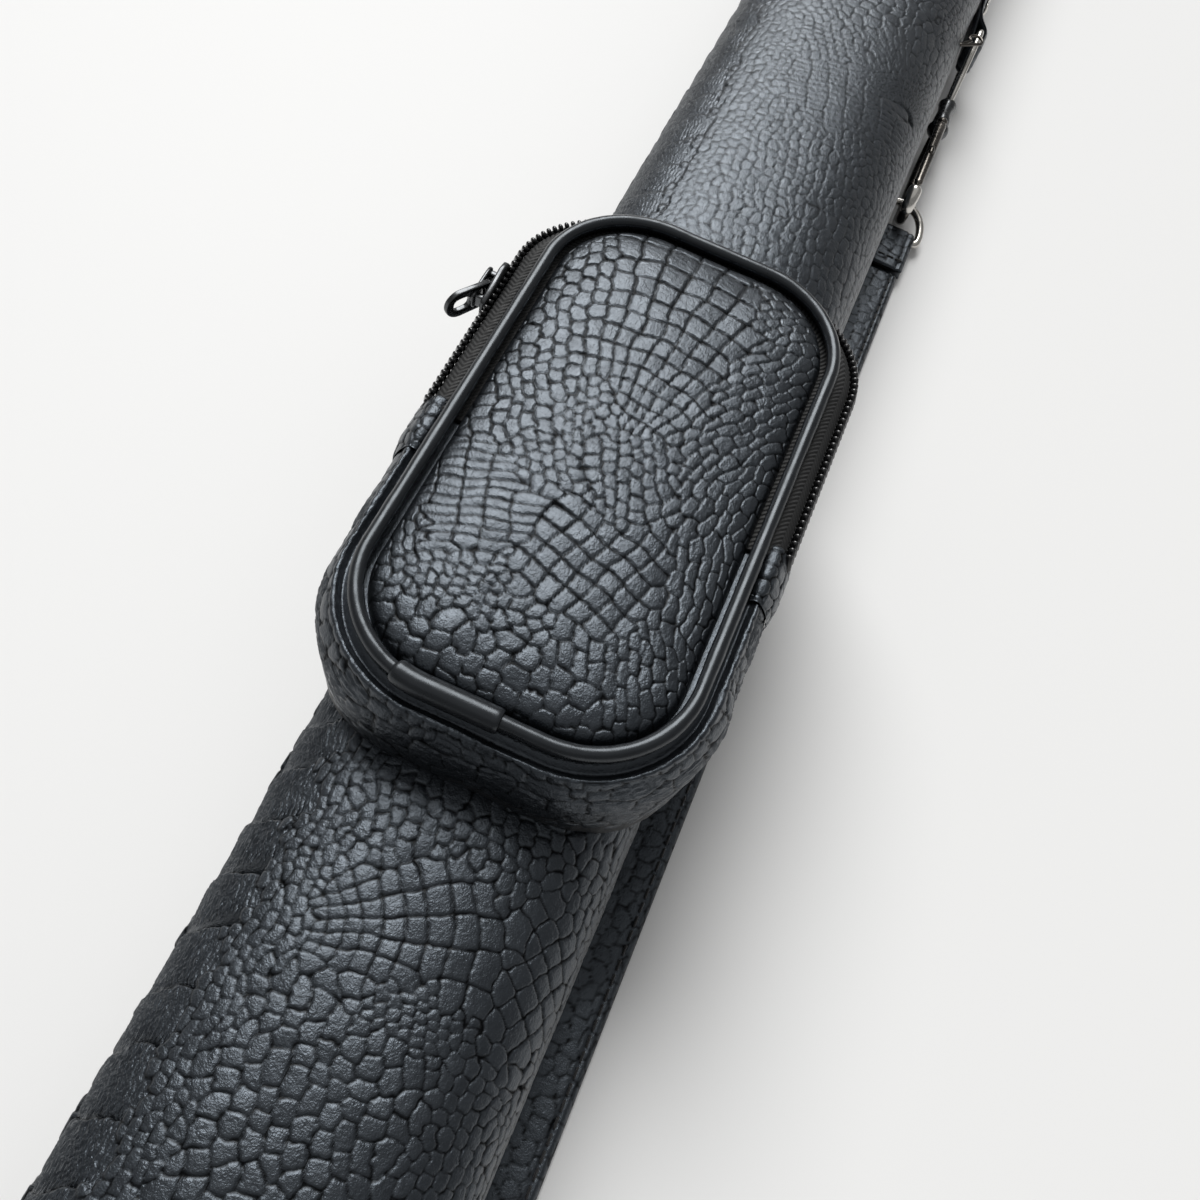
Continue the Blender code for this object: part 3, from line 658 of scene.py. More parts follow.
def croc_leather():
    """Satin leatherette. Scales differ a little in tone, and shade is painted into their grooves, whose colour
    darkens to near black.
    """
    look = Look("croc_leather", (0.02, 0.022, 0.026), 0.45, coat_roughness=0.35, coat_weight=0.12)
    top = look.mixed(look.attribute("tone"), (0.0045, 0.0052, 0.0064), (0.0085, 0.0096, 0.0114))
    top = look.mixed(look.cloudy(38, 4, 0, 0.45, 0.35), top, (0.0045, 0.0051, 0.0064))
    groove = look.attribute("groove")
    # Painted shade: the colour darkens from the scales' tops to near black in the grooves.
    look.colour(look.mixed(look.spread(groove, 0, 0.95, 0.15, 0.85), top, (0.0008, 0.0009, 0.0011)))
    look.roughness(look.maths("ADD", look.cloudy(420, 4, 0.28, 0.42), look.spread(groove, 0.0, 0.18)))
    look.shader.inputs["Specular Tint"].default_value = (0.76, 0.87, 1.0, 1)
    shine = look.shader.inputs["Specular IOR Level"]
    look.link(look.spread(groove, 0.80, 0.03, 0.12, 0.85), shine)
    look.bump(look.noise(900, 3), 0.00024, 0.6)
    look.bump(look.noise(2600, 2), 0.00014, 0.8)
    return look.material


def piping_vinyl():
    """Smooth, slightly glossy vinyl with faint creases across its run."""
    look = Look("piping_vinyl", (0.009, 0.010, 0.012), 0.34, coat_weight=0.1, coat_roughness=0.3)
    look.shader.inputs["Specular Tint"].default_value = (0.84, 0.92, 1.0, 1)
    look.colour(look.mixed(look.cloudy(60, 3, 0, 1, 0.35), (0.0055, 0.0062, 0.0075), (0.0100, 0.0110, 0.0128)))
    look.roughness(look.cloudy(300, 4, 0.24, 0.36))
    look.bump(look.noise(700, 3), 0.00010, 0.25)
    look.bump(look.noise(3000, 2), 0.00003, 0.4)
    return look.material


def plain_leather():
    """The same leatherette where it is turned or folded and its scales are pressed nearly flat."""
    look = Look("plain_leather", (0.014, 0.016, 0.019), 0.48)
    look.colour(look.mixed(look.cloudy(45, 4, 0, 1, 0.35), (0.0050, 0.0056, 0.0070), (0.0095, 0.0106, 0.0126)))
    look.roughness(look.cloudy(350, 4, 0.42, 0.58))
    look.bump(look.cells(330), 0.00022, 0.5)
    look.bump(look.noise(2400, 2), 0.00005, 0.5)
    return look.material


def woven_tape():
    """Zip tape. Its ribs are in the mesh; the material adds the yarn, and paints shade into the valleys between
    the ribs, so their tops stand lighter.
    """
    look = Look("woven_tape", (0.009, 0.009, 0.010), 0.7, sheen_weight=0.06, sheen_roughness=0.4)
    # Painted shade: near black in the valleys between the ribs, lighter on the rib tops.
    look.colour(look.mixed(look.attribute("rib"), (0.0006, 0.0006, 0.0007), (0.0130, 0.0135, 0.0145)))
    look.roughness(look.cloudy(800, 3, 0.55, 0.75))
    look.bump(look.noise(4200, 2), 0.00008, 0.7)
    return look.material


def nylon_coil():
    """Glossy nylon."""
    look = Look("nylon_coil", (0.008, 0.008, 0.009), 0.22, coat_weight=0.3, coat_roughness=0.12)
    look.colour(look.mixed(look.noise(500, 2), (0.005, 0.005, 0.006), (0.012, 0.012, 0.013)))
    look.roughness(look.cloudy(900, 3, 0.16, 0.30))
    return look.material


def metal(name, dark, light, low, high):
    """Plated metal, with cloudy plating and fine handling scratches."""
    look = Look(name, light, low, 1.0)
    look.colour(look.mixed(look.cloudy(110, 4, 0, 1, 0.35), dark, light))
    scratch = look.noise(900, 5, (1.0, 0.12, 1.0))
    look.roughness(look.spread(scratch, low, high, 0.35, 0.7))
    look.bump(scratch, 0.00002, 0.25)
    return look.material


def soft_pile(name, dark, light, scale=1500):
    """Velvet lining or flocking."""
    look = Look(name, light, 0.95, sheen_weight=0.6, sheen_roughness=0.4)
    look.colour(look.mixed(look.cloudy(70, 4, 0, 1), dark, light))
    look.roughness(look.cloudy(scale, 2, 0.86, 1.0))
    look.bump(look.noise(scale, 2), 0.0002, 0.6)
    return look.material


def open_foam():
    """Dark open-celled foam."""
    look = Look("open_foam", (0.06, 0.06, 0.065), 0.97)
    cells = look.cells(900)
    look.colour(look.mixed(cells, (0.075, 0.075, 0.08), (0.022, 0.022, 0.024)))
    look.roughness(look.cloudy(600, 2, 0.92, 1.0))
    look.bump(cells, 0.0004, -0.8)
    return look.material


def wound_board():
    """Spirally wound fibre board, seen on the shells' cut ends."""
    look = Look("wound_board", (0.16, 0.13, 0.10), 0.85)
    fibres = look.noise(500, 5, (0.25, 1.0, 1.0))
    look.colour(look.mixed(look.spread(fibres, 0, 1, 0.3, 0.7), (0.10, 0.08, 0.06), (0.22, 0.18, 0.14)))
    look.roughness(look.spread(fibres, 0.75, 0.95, 0.3, 0.7))
    look.bump(fibres, 0.00015, 0.5)
    return look.material


def sewing_thread():
    """Twisted black thread."""
    look = Look("sewing_thread", (0.012, 0.012, 0.013), 0.6, sheen_weight=0.3, sheen_roughness=0.4)
    look.colour(look.mixed(look.noise(1500, 2), (0.006, 0.006, 0.007), (0.020, 0.020, 0.022)))
    look.roughness(look.cloudy(1800, 2, 0.5, 0.75))
    look.bump(look.noise(3500, 2, (1.0, 0.3, 1.0)), 0.00008, 0.6)
    return look.material


CROC = croc_leather()
VINYL = piping_vinyl()
PLAIN = plain_leather()
TAPE = woven_tape()
COIL = nylon_coil()
NICKEL = metal("polished_nickel", (0.50, 0.48, 0.45), (0.72, 0.70, 0.66), 0.14, 0.30)
GUNMETAL = metal("gunmetal", (0.055, 0.057, 0.060), (0.13, 0.135, 0.14), 0.20, 0.36)
BRONZE = metal("dark_bronze", (0.050, 0.046, 0.042), (0.17, 0.155, 0.14), 0.18, 0.32)
VELVET = soft_pile("velvet", (0.018, 0.019, 0.024), (0.040, 0.042, 0.052))
FOAM = open_foam()
BOARD = wound_board()
THREAD = sewing_thread()


def finish(piece, material, slot, body, *nodes):
    """Gives a piece its material, hides the CAD nodes it stands for, and sets it on its body; a tuple body only
    bakes the piece's place. slot is not used.
    """
    piece.data.materials.clear()
    piece.data.materials.append(material)
    if nodes:
        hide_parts(*nodes)
    if isinstance(body, tuple):
        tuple(body[2])
        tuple(body[3])
        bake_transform(piece)
    else:
        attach(piece, body)
    return piece


def repaint(material, *nodes):
    """A CAD node whose shape is right keeps it and takes a better material."""
    for name in nodes:
        slots = frame["nodes"][name].data.materials
        slots.clear()
        slots.append(material)


# ---- case and lid -----------------------------------------------------------------------------

# Where the tube's and the lid's meshes change their spacing round the case: finest on the front
TUBE_V = [(-HALF_ROUND, 0.0015), (-0.078, 0.0008), (-0.044, 0.00034), (0.046, 0.0008), (0.078, 0.0015),
          (HALF_ROUND, 0)]
LID_V = [(-HALF_ROUND, 0.0015), (-0.078, 0.0007), (0.078, 0.0015), (HALF_ROUND, 0)]


def oval_wrap(name, node, hide, x, v, body, turn_in=0.0005):
    """A band of leatherette round the case, its outer face embossed and its two edges turned in."""
    v = v[:-1]
    low, groove, tone = hide.sample(x[:, None] - POUCH_X, v[None, :])
    edge = np.minimum(x - x[0], x[-1] - x)[:, None]
    low = low + turn_in * np.exp(-edge / 0.0006)
    outer = around_case(x, v, low)
    inner = around_case(x[[-1, 0]], v, COVER)
    rows = np.concatenate([outer, inner])
    flat = np.zeros((2, len(v)))
    made = mesh_object(name, rows, grid_quads(len(rows), len(v), True, True),
                       groove=np.concatenate([groove, flat]), tone=np.concatenate([tone, flat]))
    finish(made, CROC, "croc_leather", body, node)


def binding_ring(name, node, body):
    """A vinyl band bound round an edge, with rounded shoulders and a row of sunk stitches."""
    low, high = span(node)
    across = np.linspace(0, 1, 22)
    x = low[0] + (high[0] - low[0]) * across
    v = np.linspace(-HALF_ROUND, HALF_ROUND, 360)[:-1]
    shoulder = np.minimum(across, 1 - across) * (high[0] - low[0])
    inset = 0.0007 * np.exp(-shoulder / 0.0007)
    stitch_line = np.abs(x - (low[0] + high[0]) / 2)
    inset = inset + 0.00035 * np.exp(-(stitch_line / 0.0006) ** 2)
    rows = np.concatenate([around_case(x, v, inset[:, None]), around_case(x[[-1, 0]], v, COVER)])
    band = mesh_object(name, rows, grid_quads(len(rows), len(v), True, True))
    finish(band, VINYL, "vinyl_trim", body, node)
    middle = (low[0] + high[0]) / 2
    parts = []
    count = round(2 * HALF_ROUND / 0.0034)
    for k in range(count):
        at = -HALF_ROUND + 2 * HALF_ROUND * (k + 0.5) / count
        y, z, ny, nz = (float(value) for value in section(at))
        normal = np.array([0, ny, nz])
        spot = np.array([middle, y, z]) - 0.00022 * normal
        parts.append(placed(capsule(0.0027, 0.00032), spot, np.cross(normal, [1, 0, 0]), [1, 0, 0]))
    finish(joined(f"{name}_stitches", parts), THREAD, "vinyl_trim", body)


def end_dome(name, node, body, tip, inwards, hide):
    """A domed, leather-covered end with a soft shoulder, over its plug."""
    edge = tip + inwards * 0.006
    shoulder = [(0, 0.0035), (0, 0.0012), (0, 0.0006), (0.0012, 0.0003), (0.0026, 0.0007), (0.0042, 0.0024),
                (0.0053, 0.0050), (0.0059, 0.0080)]
    profile = [(edge - inwards * x, inset) for x, inset in shoulder]
    curve = spline(profile + [(tip, 0.0115), (tip, 0.0165), (tip, 0.0225)], 60)
    v = np.linspace(-HALF_ROUND, HALF_ROUND, 420)[:-1]
    y, z, _, _ = section(v)
    rings, grooves, tones = [], [], []
    for x, inset in curve:
        shrink_y, shrink_z = 1 - inset / HALF_WIDTH, 1 - inset / HALF_DEPTH
        ring_y, ring_z = y * shrink_y, HALF_DEPTH + (z - HALF_DEPTH) * max(shrink_z, 0.02)
        low, groove, tone = hide.sample(ring_y, ring_z - HALF_DEPTH)
        fade = np.clip((inset - 0.0012) / 0.003, 0, 1)
        rings.append(np.stack([np.full(len(v), x) + inwards * low * fade, ring_y, ring_z], -1))
        grooves.append(groove * fade)
        tones.append(tone)
    plug = float(span(node)[1][0] if inwards > 0 else span(node)[0][0])
    back = np.array([np.stack([np.full(len(v), plug), y * 0.90, HALF_DEPTH + (z - HALF_DEPTH) * 0.85], -1)])
    rows = np.concatenate([back, rings])
    blank = np.zeros((1, len(v)))
    made = lofted(name, rows, groove=np.concatenate([blank, grooves]), tone=np.concatenate([blank, tones]))
    finish(made, CROC, "croc_leather", body, node)


def build_case():
    """The tube and lid: embossed covers, bound edges, domed ends, and the parts inside."""
    x0, x1 = (float(end[0]) for end in span("tube_cover"))
    stops = [(x0, 0.0009), (POUCH_X - 0.180, 0.00032), (POUCH_X - 0.074, 0.0009), (POUCH_X + 0.068, 0.00062),
             (x1, 0)]
    oval_wrap("tube_wrap", "tube_cover", case_hide(x0, x1, 7, 0.25), graded(stops), graded(TUBE_V), "case")
    x0, x1 = (float(end[0]) for end in span("lid_cover"))
    lid_x = graded([(x0, 0.0008), (x1, 0)])
    oval_wrap("lid_wrap", "lid_cover", case_hide(x0, x1, 8, 0.35), lid_x, graded(LID_V), "lid")
    for node, body in (("base_binding", "case"), ("mouth_binding", "case"), ("lid_rim_binding", "lid"),
                       ("lid_end_binding", "lid")):
        binding_ring(f"{node}_band", node, body)
    caps = Hide((-42, 42, -28, 28), [Patch(0, 0, 40, 30, 4.4, 4.0, 15, 0.5)], 21, 0.3)
    end_dome("base_dome", "base_cap", "case", float(span("base_cap")[0][0]), 1, caps)
    end_dome("lid_dome", "lid_end_cap", "lid", float(span("lid_end_cap")[1][0]), -1, caps)
    repaint(BOARD, "tube_shell", "lid_shell")
    repaint(VELVET, "mouth_collar", "mouth_plate", "butt_sleeve", "shaft_sleeve", "lid_lining")
    repaint(FOAM, "base_pad", "lid_end_pad", "liner_block")


# ---- pouch ------------------------------------------------------------------------------------


def outline(offset, step, part="whole"):
    """Evenly spaced points round the pouch's outline, with outward normals and distances run.

    The outline starts at the hinge line on the -Y side and goes anticlockwise. The upper part ends
    at the hinge line on the +Y side, and the lower part goes on from there.
    """
    straight, side = HALF_LENGTH - CORNER, HALF_SPAN - CORNER
    hinge = HINGE_X - POUCH_X
    gap = 0.0004
    centres = [(straight, -side), (straight, side), (-straight, side), (-straight, -side)]
    turns = {"upper": (0, 1), "lower": (2, 3), "whole": (0, 1, 2, 3)}[part]
    start, end = {"upper": (-1, 1), "lower": (1, -1), "whole": (-1, -1)}[part]
    shift = {"upper": gap, "lower": -gap, "whole": 0}[part]
    points, normals = [], []

    def add(x, y, nx, ny):
        points.append((x + offset * nx, y + offset * ny))
        normals.append((nx, ny))

    add(hinge + shift, start * HALF_SPAN, 0, start)
    for quarter in turns:
        cx, cy = centres[quarter]
        for angle in np.linspace(quarter - 1, quarter, 49) * math.pi / 2:
            nx, ny = math.cos(angle), math.sin(angle)
            add(cx + CORNER * nx, cy + CORNER * ny, nx, ny)
    add(hinge + shift - (part == "whole") * step / 2, end * HALF_SPAN, 0, end)
    points, normals = np.array(points), np.array(normals)
    far = run_along(points)
    wanted = np.linspace(0, far[-1], max(3, round(far[-1] / step) + 1))
    places = np.stack([np.interp(wanted, far, points[:, k]) for k in range(2)], -1)
    turned = unit(np.stack([np.interp(wanted, far, normals[:, k]) for k in range(2)], -1))
    return places, turned, wanted


def along_outline(places, normals, offsets, heights):
    """Points at (offset, height) from the outline. offsets and heights are (places, profile points)."""
    x = POUCH_X + places[:, :1] + normals[:, :1] * offsets
    y = places[:, 1:] + normals[:, 1:] * offsets
    return np.stack([x, y, np.broadcast_to(heights, x.shape)], -1)


def swept(places, normals, curve, out=None, lift=0.0):
    """A profile at every place of the outline, moved by lift along its own normals out."""
    if out is None:
        out = np.zeros_like(curve)
    lift = np.broadcast_to(lift, (len(places), len(curve)))
    return along_outline(places, normals, curve[:, 0] + out[:, 0] * lift, curve[:, 1] + out[:, 1] * lift)


# How far the zip is drawn in all round, and in and down at the pouch's far end
ZIP_IN, ZIP_END_IN, ZIP_END_DOWN = 0.0021, 0.0022, 0.0032


def tucked(points, normals, share):
    """Draws the zip in towards the piping, and down at the pouch's far end, by each profile point's share."""
    end = np.clip(normals[:, :1], 0, 1) ** 1.5
    points = points.copy()
    points[:, :, 0] -= (ZIP_IN + ZIP_END_IN * end) * share * normals[:, :1]
    points[:, :, 1] -= (ZIP_IN + ZIP_END_IN * end) * share * normals[:, 1:]
    points[:, :, 2] -= ZIP_END_DOWN * end * share
    return points


def inside_outline(x, y):
    """How far a point lies inside the piping's line."""
    qx, qy = np.abs(x) - (HALF_LENGTH - CORNER), np.abs(y) - (HALF_SPAN - CORNER)
    outside = np.hypot(np.maximum(qx, 0), np.maximum(qy, 0)) + np.minimum(np.maximum(qx, qy), 0)
    return CORNER - outside


PANEL_INSET = 0.0022
PANEL_TOP = 0.0713
PANEL_FOOT = 0.0650


def crown(inside):
    """The padded panel's height before it is sewn down and swells."""
    run = np.maximum(inside - PANEL_INSET, 0)
    return PANEL_TOP - 0.0036 * np.exp(-run / 0.0042) - 0.0027 * np.exp(-run / 0.00055)


def panel_grid(across, along):
    """A grid of places over the panel. Rows run along the pouch and shorten at its rounded ends."""
    half = HALF_SPAN - PANEL_INSET
    y = half * np.sin(np.linspace(-1, 1, across) * math.pi / 2 * 0.86) / math.sin(math.pi / 2 * 0.86)
    radius = CORNER - PANEL_INSET
    beyond = np.maximum(np.abs(y) - (HALF_SPAN - CORNER), 0)
    reach = HALF_LENGTH - CORNER + np.sqrt(np.maximum(radius**2 - beyond**2, 0))
    x = reach[:, None] * np.linspace(-1, 1, along)[None, :]
    return x, np.broadcast_to(y[:, None], x.shape)


def swollen_pad():
    """The padding under the panel's leather, blown up against its sewn edge by a cloth simulation."""
    x, y = panel_grid(31, 61)
    rows, cols = x.shape
    top = crown(inside_outline(x, y)) - 0.0004
    foot = np.full_like(top, PANEL_FOOT)
    points = np.concatenate([np.stack([x, y, level], -1).reshape(-1, 3) for level in (top, foot)])
    quads = grid_quads(rows, cols)
    rim = grid_rim(rows, cols)
    walls = [(a, b, b + rows * cols, a + rows * cols) for a, b in zip(rim, rim[1:] + rim[:1])]
    pad = mesh_object("pad_form", points, np.concatenate([quads, (quads + rows * cols)[:, ::-1], walls]))
    remesh = pad.modifiers.new("Remesh", "REMESH")
    remesh.mode, remesh.voxel_size = "VOXEL", 0.0022
    graph = bpy.context.evaluated_depsgraph_get()
    mesh = bpy.data.meshes.new_from_object(pad.evaluated_get(graph))
    pad.modifiers.clear()
    pad.data = mesh
    before = np.empty(len(mesh.vertices) * 3)
    mesh.vertices.foreach_get("co", before)
    before = before.reshape(-1, 3)
    held = (inside_outline(before[:, 0], before[:, 1]) < 0.0048) | (before[:, 2] < PANEL_FOOT + 0.0015)
    sewn = pad.vertex_groups.new(name="sewn")
    sewn.add([int(i) for i in np.flatnonzero(held)], 1.0, "REPLACE")
    cloth = pad.modifiers.new("Cloth", "CLOTH")
    cloth.settings.quality = 6
    cloth.settings.mass = 0.2
    cloth.settings.tension_stiffness = cloth.settings.compression_stiffness = 12
    cloth.settings.bending_stiffness = 0.4
    cloth.settings.use_pressure = True
    cloth.settings.uniform_pressure_force = 4
    cloth.settings.vertex_group_mass = "sewn"
    cloth.settings.effector_weights.gravity = 0
    cloth.point_cache.frame_start, cloth.point_cache.frame_end = 1, 20
    for number in range(1, 21):
        bpy.context.scene.frame_set(number)
    graph = bpy.context.evaluated_depsgraph_get()
    blown = pad.evaluated_get(graph).to_mesh()
    after = np.empty(len(blown.vertices) * 3)
    blown.vertices.foreach_get("co", after)
    moved = after.reshape(-1, 3) - before
    size = np.linalg.norm(moved, axis=1)[:, None]
    cap = 0.0016
    after = before + moved * np.minimum(1, cap / np.maximum(size, 1e-9))
    tree = BVHTree.FromPolygons([Vector(p) for p in after], [tuple(f.vertices) for f in mesh.polygons])
    bpy.context.scene.frame_set(1)
    bpy.data.objects.remove(pad)
    return tree


def swelling(x, y):
    """How much the panel rises over its plain crown, on the places of panel_grid."""
    tree = swollen_pad()
    coarse_x, coarse_y = np.linspace(-HALF_LENGTH, HALF_LENGTH, 71), np.linspace(-HALF_SPAN, HALF_SPAN, 37)
    rise = np.zeros((71, 37))
    for i, px in enumerate(coarse_x):
        for j, py in enumerate(coarse_y):
            inside = float(inside_outline(np.array(px), np.array(py)))
            hit = tree.ray_cast(Vector((px, py, 0.1)), Vector((0, 0, -1)))[0] if inside > 0.004 else None
            if hit:
                rise[i, j] = hit.z + 0.0004 - float(crown(np.array(inside)))
    for _ in range(2):
        wide = np.pad(rise, 1, mode="edge")
        rise = (wide[1:-1, 1:-1] * 2 + wide[:-2, 1:-1] + wide[2:, 1:-1] + wide[1:-1, :-2] + wide[1:-1, 2:]) / 6
    fi = (x + HALF_LENGTH) / (2 * HALF_LENGTH) * 70
    fj = (y + HALF_SPAN) / (2 * HALF_SPAN) * 36
    i, j = np.clip(fi.astype(int), 0, 69), np.clip(fj.astype(int), 0, 35)
    a, b = fi - i, fj - j
    return blended(rise, i, j, a, b)


BEND_START = (HINGE_X - 0.012, 0, 0.070)
BEND_END = (HINGE_X + 0.012, 0, 0.070)
BEND = ("case", "flap", BEND_START, BEND_END)


def build_panel():
    """The padded front of the pouch, in one piece."""
    x, y = panel_grid(236, 432)
    hide = Hide((-70, 70, -38, 38), PANEL_PATCHES, 3, 0.20, depth=1.1)
    low, groove, tone = hide.sample(x, y)
    inside = inside_outline(x, y)
    fade = np.clip((inside - PANEL_INSET) / 0.0012, 0, 1)
    z = crown(inside) + swelling(x, y) - low * (0.35 + 0.65 * fade)
    rows, cols = x.shape
    rim = grid_rim(rows, cols)
    flat = np.stack([POUCH_X + x, y, z], -1).reshape(-1, 3)
    foot = flat[rim].copy()
    foot[:, 2] = PANEL_FOOT
    chosen = np.linspace(0, rows - 1, 9).round().astype(int)[1:-1]
    under = np.stack([POUCH_X + 0.985 * x[chosen], y[chosen], np.full((len(chosen), cols), PANEL_FOOT)], -1)
    points = np.concatenate([flat, foot, under.reshape(-1, 3)])
    n, base = len(rim), rows * cols
    turns = base + np.append(np.arange(n), 0)
    walls = [(rim[(k + 1) % n], rim[k], turns[k], turns[k + 1]) for k in range(n)]
    corner = np.cumsum([0, cols - 1, rows - 1, cols - 1, rows - 1])
    first, right, last, left = (turns[a:b + 1] for a, b in zip(corner, corner[1:]))
    inner = base + n + np.arange(len(chosen) * cols).reshape(-1, cols)
    bottom = np.concatenate([first[None, :], inner, last[None, ::-1]])
    lining = np.stack([bottom[:-1, :-1], bottom[1:, :-1], bottom[1:, 1:], bottom[:-1, 1:]], -1).reshape(-1, 4)
    quads = np.concatenate([grid_quads(rows, cols), walls, lining])
    ends = [[*right, *inner[::-1, -1]], [*left, *inner[:, 0]]]
    blank = np.zeros(len(points) - base)
    made = mesh_object("pouch_front", points, quads, ends, groove=np.concatenate([groove.reshape(-1), blank]),
                       tone=np.concatenate([tone.reshape(-1), blank]))
    finish(made, CROC, "croc_leather", BEND, "pouch_panel_lower", "pouch_panel_flap")


def piping_profile(radius, sides=18):
    """Round cord in its vinyl, with the neck that is sewn in below it."""
    turns = np.radians(np.linspace(-68, 248, sides))
    ring = [(radius * math.cos(t), radius * math.sin(t)) for t in turns]
    return np.array(ring + [(-0.0005, -radius - 0.0014), (0.0005, -radius - 0.0014)])


def build_piping():
    """The cord round the pouch's front, its ends under the sleeve."""
    rng = np.random.default_rng(5)
    places, normals, run = outline(0, 0.0008)
    y, lower = places[:, 1], places[:, 0] < -HALF_LENGTH + 0.004
    under = lower & (y < SLEEVE_Y[1] - 0.001) & (y > SLEEVE_Y[0] + 0.001)
    first = int(np.flatnonzero(under)[0])
    order = np.concatenate([np.arange(np.flatnonzero(under)[-1] + 1, len(places)), np.arange(0, first)])
    uneven = 1 + 0.02 * waves(run / MM, 0 * run, 14, 6, rng) + 0.01 * waves(run / MM, 0 * run, 4, 6, rng)
    profile = piping_profile(PIPING_R)
    offsets = uneven[:, None] * profile[None, :, 0]
    heights = PIPING_Z + uneven[:, None] * profile[None, :, 1]
    rings = along_outline(places, normals, offsets, heights)[order]
    finish(lofted("piping_cord", rings), VINYL, "vinyl_trim", BEND, "piping_flap", "piping_lower_left",
           "piping_lower_right")
    build_sleeve()


def build_sleeve():
    """The sleeve over the piping's two ends: thicker vinyl, cut square and pressed down at each end."""
    places, normals, run = outline(0, 0.0004)
    keep = (places[:, 0] < 0) & (places[:, 1] < SLEEVE_Y[1]) & (places[:, 1] > SLEEVE_Y[0])
    places, normals, run = places[keep], normals[keep], run[keep]
    edge = np.minimum(run - run[0], run[-1] - run)
    radius = PIPING_R + 0.0010 - 0.0003 * np.exp(-edge / 0.0003)
    turns = np.radians(np.linspace(-40, 262, 24))
    ring = np.stack([np.cos(turns), np.sin(turns)], -1)
    offsets, heights = (radius[:, None] * ring[None, :, k] for k in range(2))
    rings = along_outline(places, normals, offsets, PIPING_Z + heights)
    finish(lofted("piping_sleeve_vinyl", rings, sharp=50), VINYL, "vinyl_trim", "case", "piping_sleeve")


# The outer faces of the pouch's walls, as (distance out from the piping's line, height)
WALL = 0.0014
GUSSET_OUTER = [
    (-0.0030, 0.0652), (-0.0012, 0.0654), (0.0008, 0.0656), (0.0018, 0.0651), (0.0026, 0.0644), (0.0034, 0.0650),
    (0.0042, 0.0657), (0.0050, 0.0655), (0.0055, 0.0645), (0.0064, 0.0630), (0.0076, 0.0606), (0.0083, 0.0574),
    (0.0082, 0.0538), (0.0079, 0.0500), (0.0075, 0.0455), (0.0070, 0.0404),
]
STRIP_OUTER = [(0.0078, 0.0556), (0.0083, 0.0549), (0.0083, 0.0530), (0.0079, 0.0495), (0.0075, 0.0450),
               (0.0070, 0.0404)]
FOLD_OUTER = [(0.0020, 0.0656), (0.0034, 0.0663), (0.0050, 0.0660), (0.0062, 0.0644), (0.0074, 0.0622),
              (0.0084, 0.0592), (0.0086, 0.0562)]


def leather_wall(name, node, part, outer, hide, plain_above):
    """A leather wall swept round the pouch: an embossed outer face, closed by a plain inner one."""
    places, normals, run = outline(0, 0.00045, part)
    curve = spline(outer, 88)
    down = run_along(curve)
    out = profile_normals(curve)
    out *= np.sign(out[len(out) // 2, 0])
    low, groove, tone = hide.sample(run[:, None], down[None, :])
    share = np.clip((down - plain_above) / 0.0008, 0, 1)[None, :]
    low = low * (0.15 + 0.85 * share)
    sag = 0.00025 * waves(run / MM, 0 * run, 23, 5, np.random.default_rng(31))[:, None]
    sag = sag * np.sin(math.pi * down / down[-1])
    face = swept(places, normals, curve, out, sag - low)
    inner_curve = curve[::-4] - WALL * out[::-4]
    inner = swept(places, normals, inner_curve)
    made = lofted(name, np.concatenate([face, inner], axis=1), tone=then_zeros(tone, len(inner_curve)),
                  groove=then_zeros(groove * share, len(inner_curve)))
    finish(made, CROC, "croc_leather", "case", node)


def build_gusset():
    """The pouch's leather walls: deep round the closed half, a low strip behind the zip."""
    belly = [Patch(100, 9, 400, 4.0, 3.2, 2.8, 0, 0.2), Patch(100, 18, 400, 7.0, 6.8, 5.6, 0, 0.12, "lined"),
             Patch(100, 28, 400, 5.0, 4.2, 3.6, 0, 0.2), Patch(15, 17, 22, 9.0, 4.2, 3.6, 0, 0.25),
             Patch(185, 17, 22, 9.0, 4.4, 3.6, 10, 0.25)]
    hide = Hide((-2, 225, -1, 38), belly, 12, 0.25, depth=1.2)
    leather_wall("gusset_leather", "pouch_gusset", "lower", GUSSET_OUTER, hide, 0.0078)
    leather_wall("rear_strip_leather", "pouch_rear_strip", "upper", STRIP_OUTER, hide, 0.0)
    for side, way in (("left", 1), ("right", -1)):
        end_fold(f"zip_end_fold_{side}", f"zipper_end_fold_{side}", way)
    repaint(PLAIN, "pouch_back")


def end_fold(name, node, way):
    """The gusset's end, folded back on itself over the zip into a thick hem."""
    length = 0.0150
    x_end = HINGE_X + 0.0038
    hide = Hide((-10, 10, -2, 20), [Patch(0, 8, 12, 14, 3.6, 3.4, 0, 0.2)], 40 + way, 0.2, depth=1.1)
    outer = spline(FOLD_OUTER, 60)
    out = profile_normals(outer)
    down = np.arange(len(outer)) * 0.00022
    rings, grooves, tones = [], [], []
    for s in np.linspace(0, 1, 48):
        low, groove, tone = hide.sample(np.full(len(outer), (s - 0.5) * length), down)
        lift = 0.0011 * min(s / 0.35, 1.0) ** 0.7 - 0.0003 - 0.0005 * math.exp(-(1 - s) * length / 0.0004)
        face = outer + out * (lift - low[:, None])
        back = outer[::-4] - out[::-4] * 0.0004
        shape = np.concatenate([face, back])
        x = x_end - (1 - s) * length
        rings.append(np.stack([np.full(len(shape), x), way * (HALF_SPAN + shape[:, 0]), shape[:, 1]], -1))
        grooves.append(groove)
        tones.append(tone)
    made = lofted(name, rings, groove=then_zeros(grooves, len(back)), tone=then_zeros(tones, len(back)))
    finish(made, CROC, "croc_leather", "case", node)


# ---- zip --------------------------------------------------------------------------------------

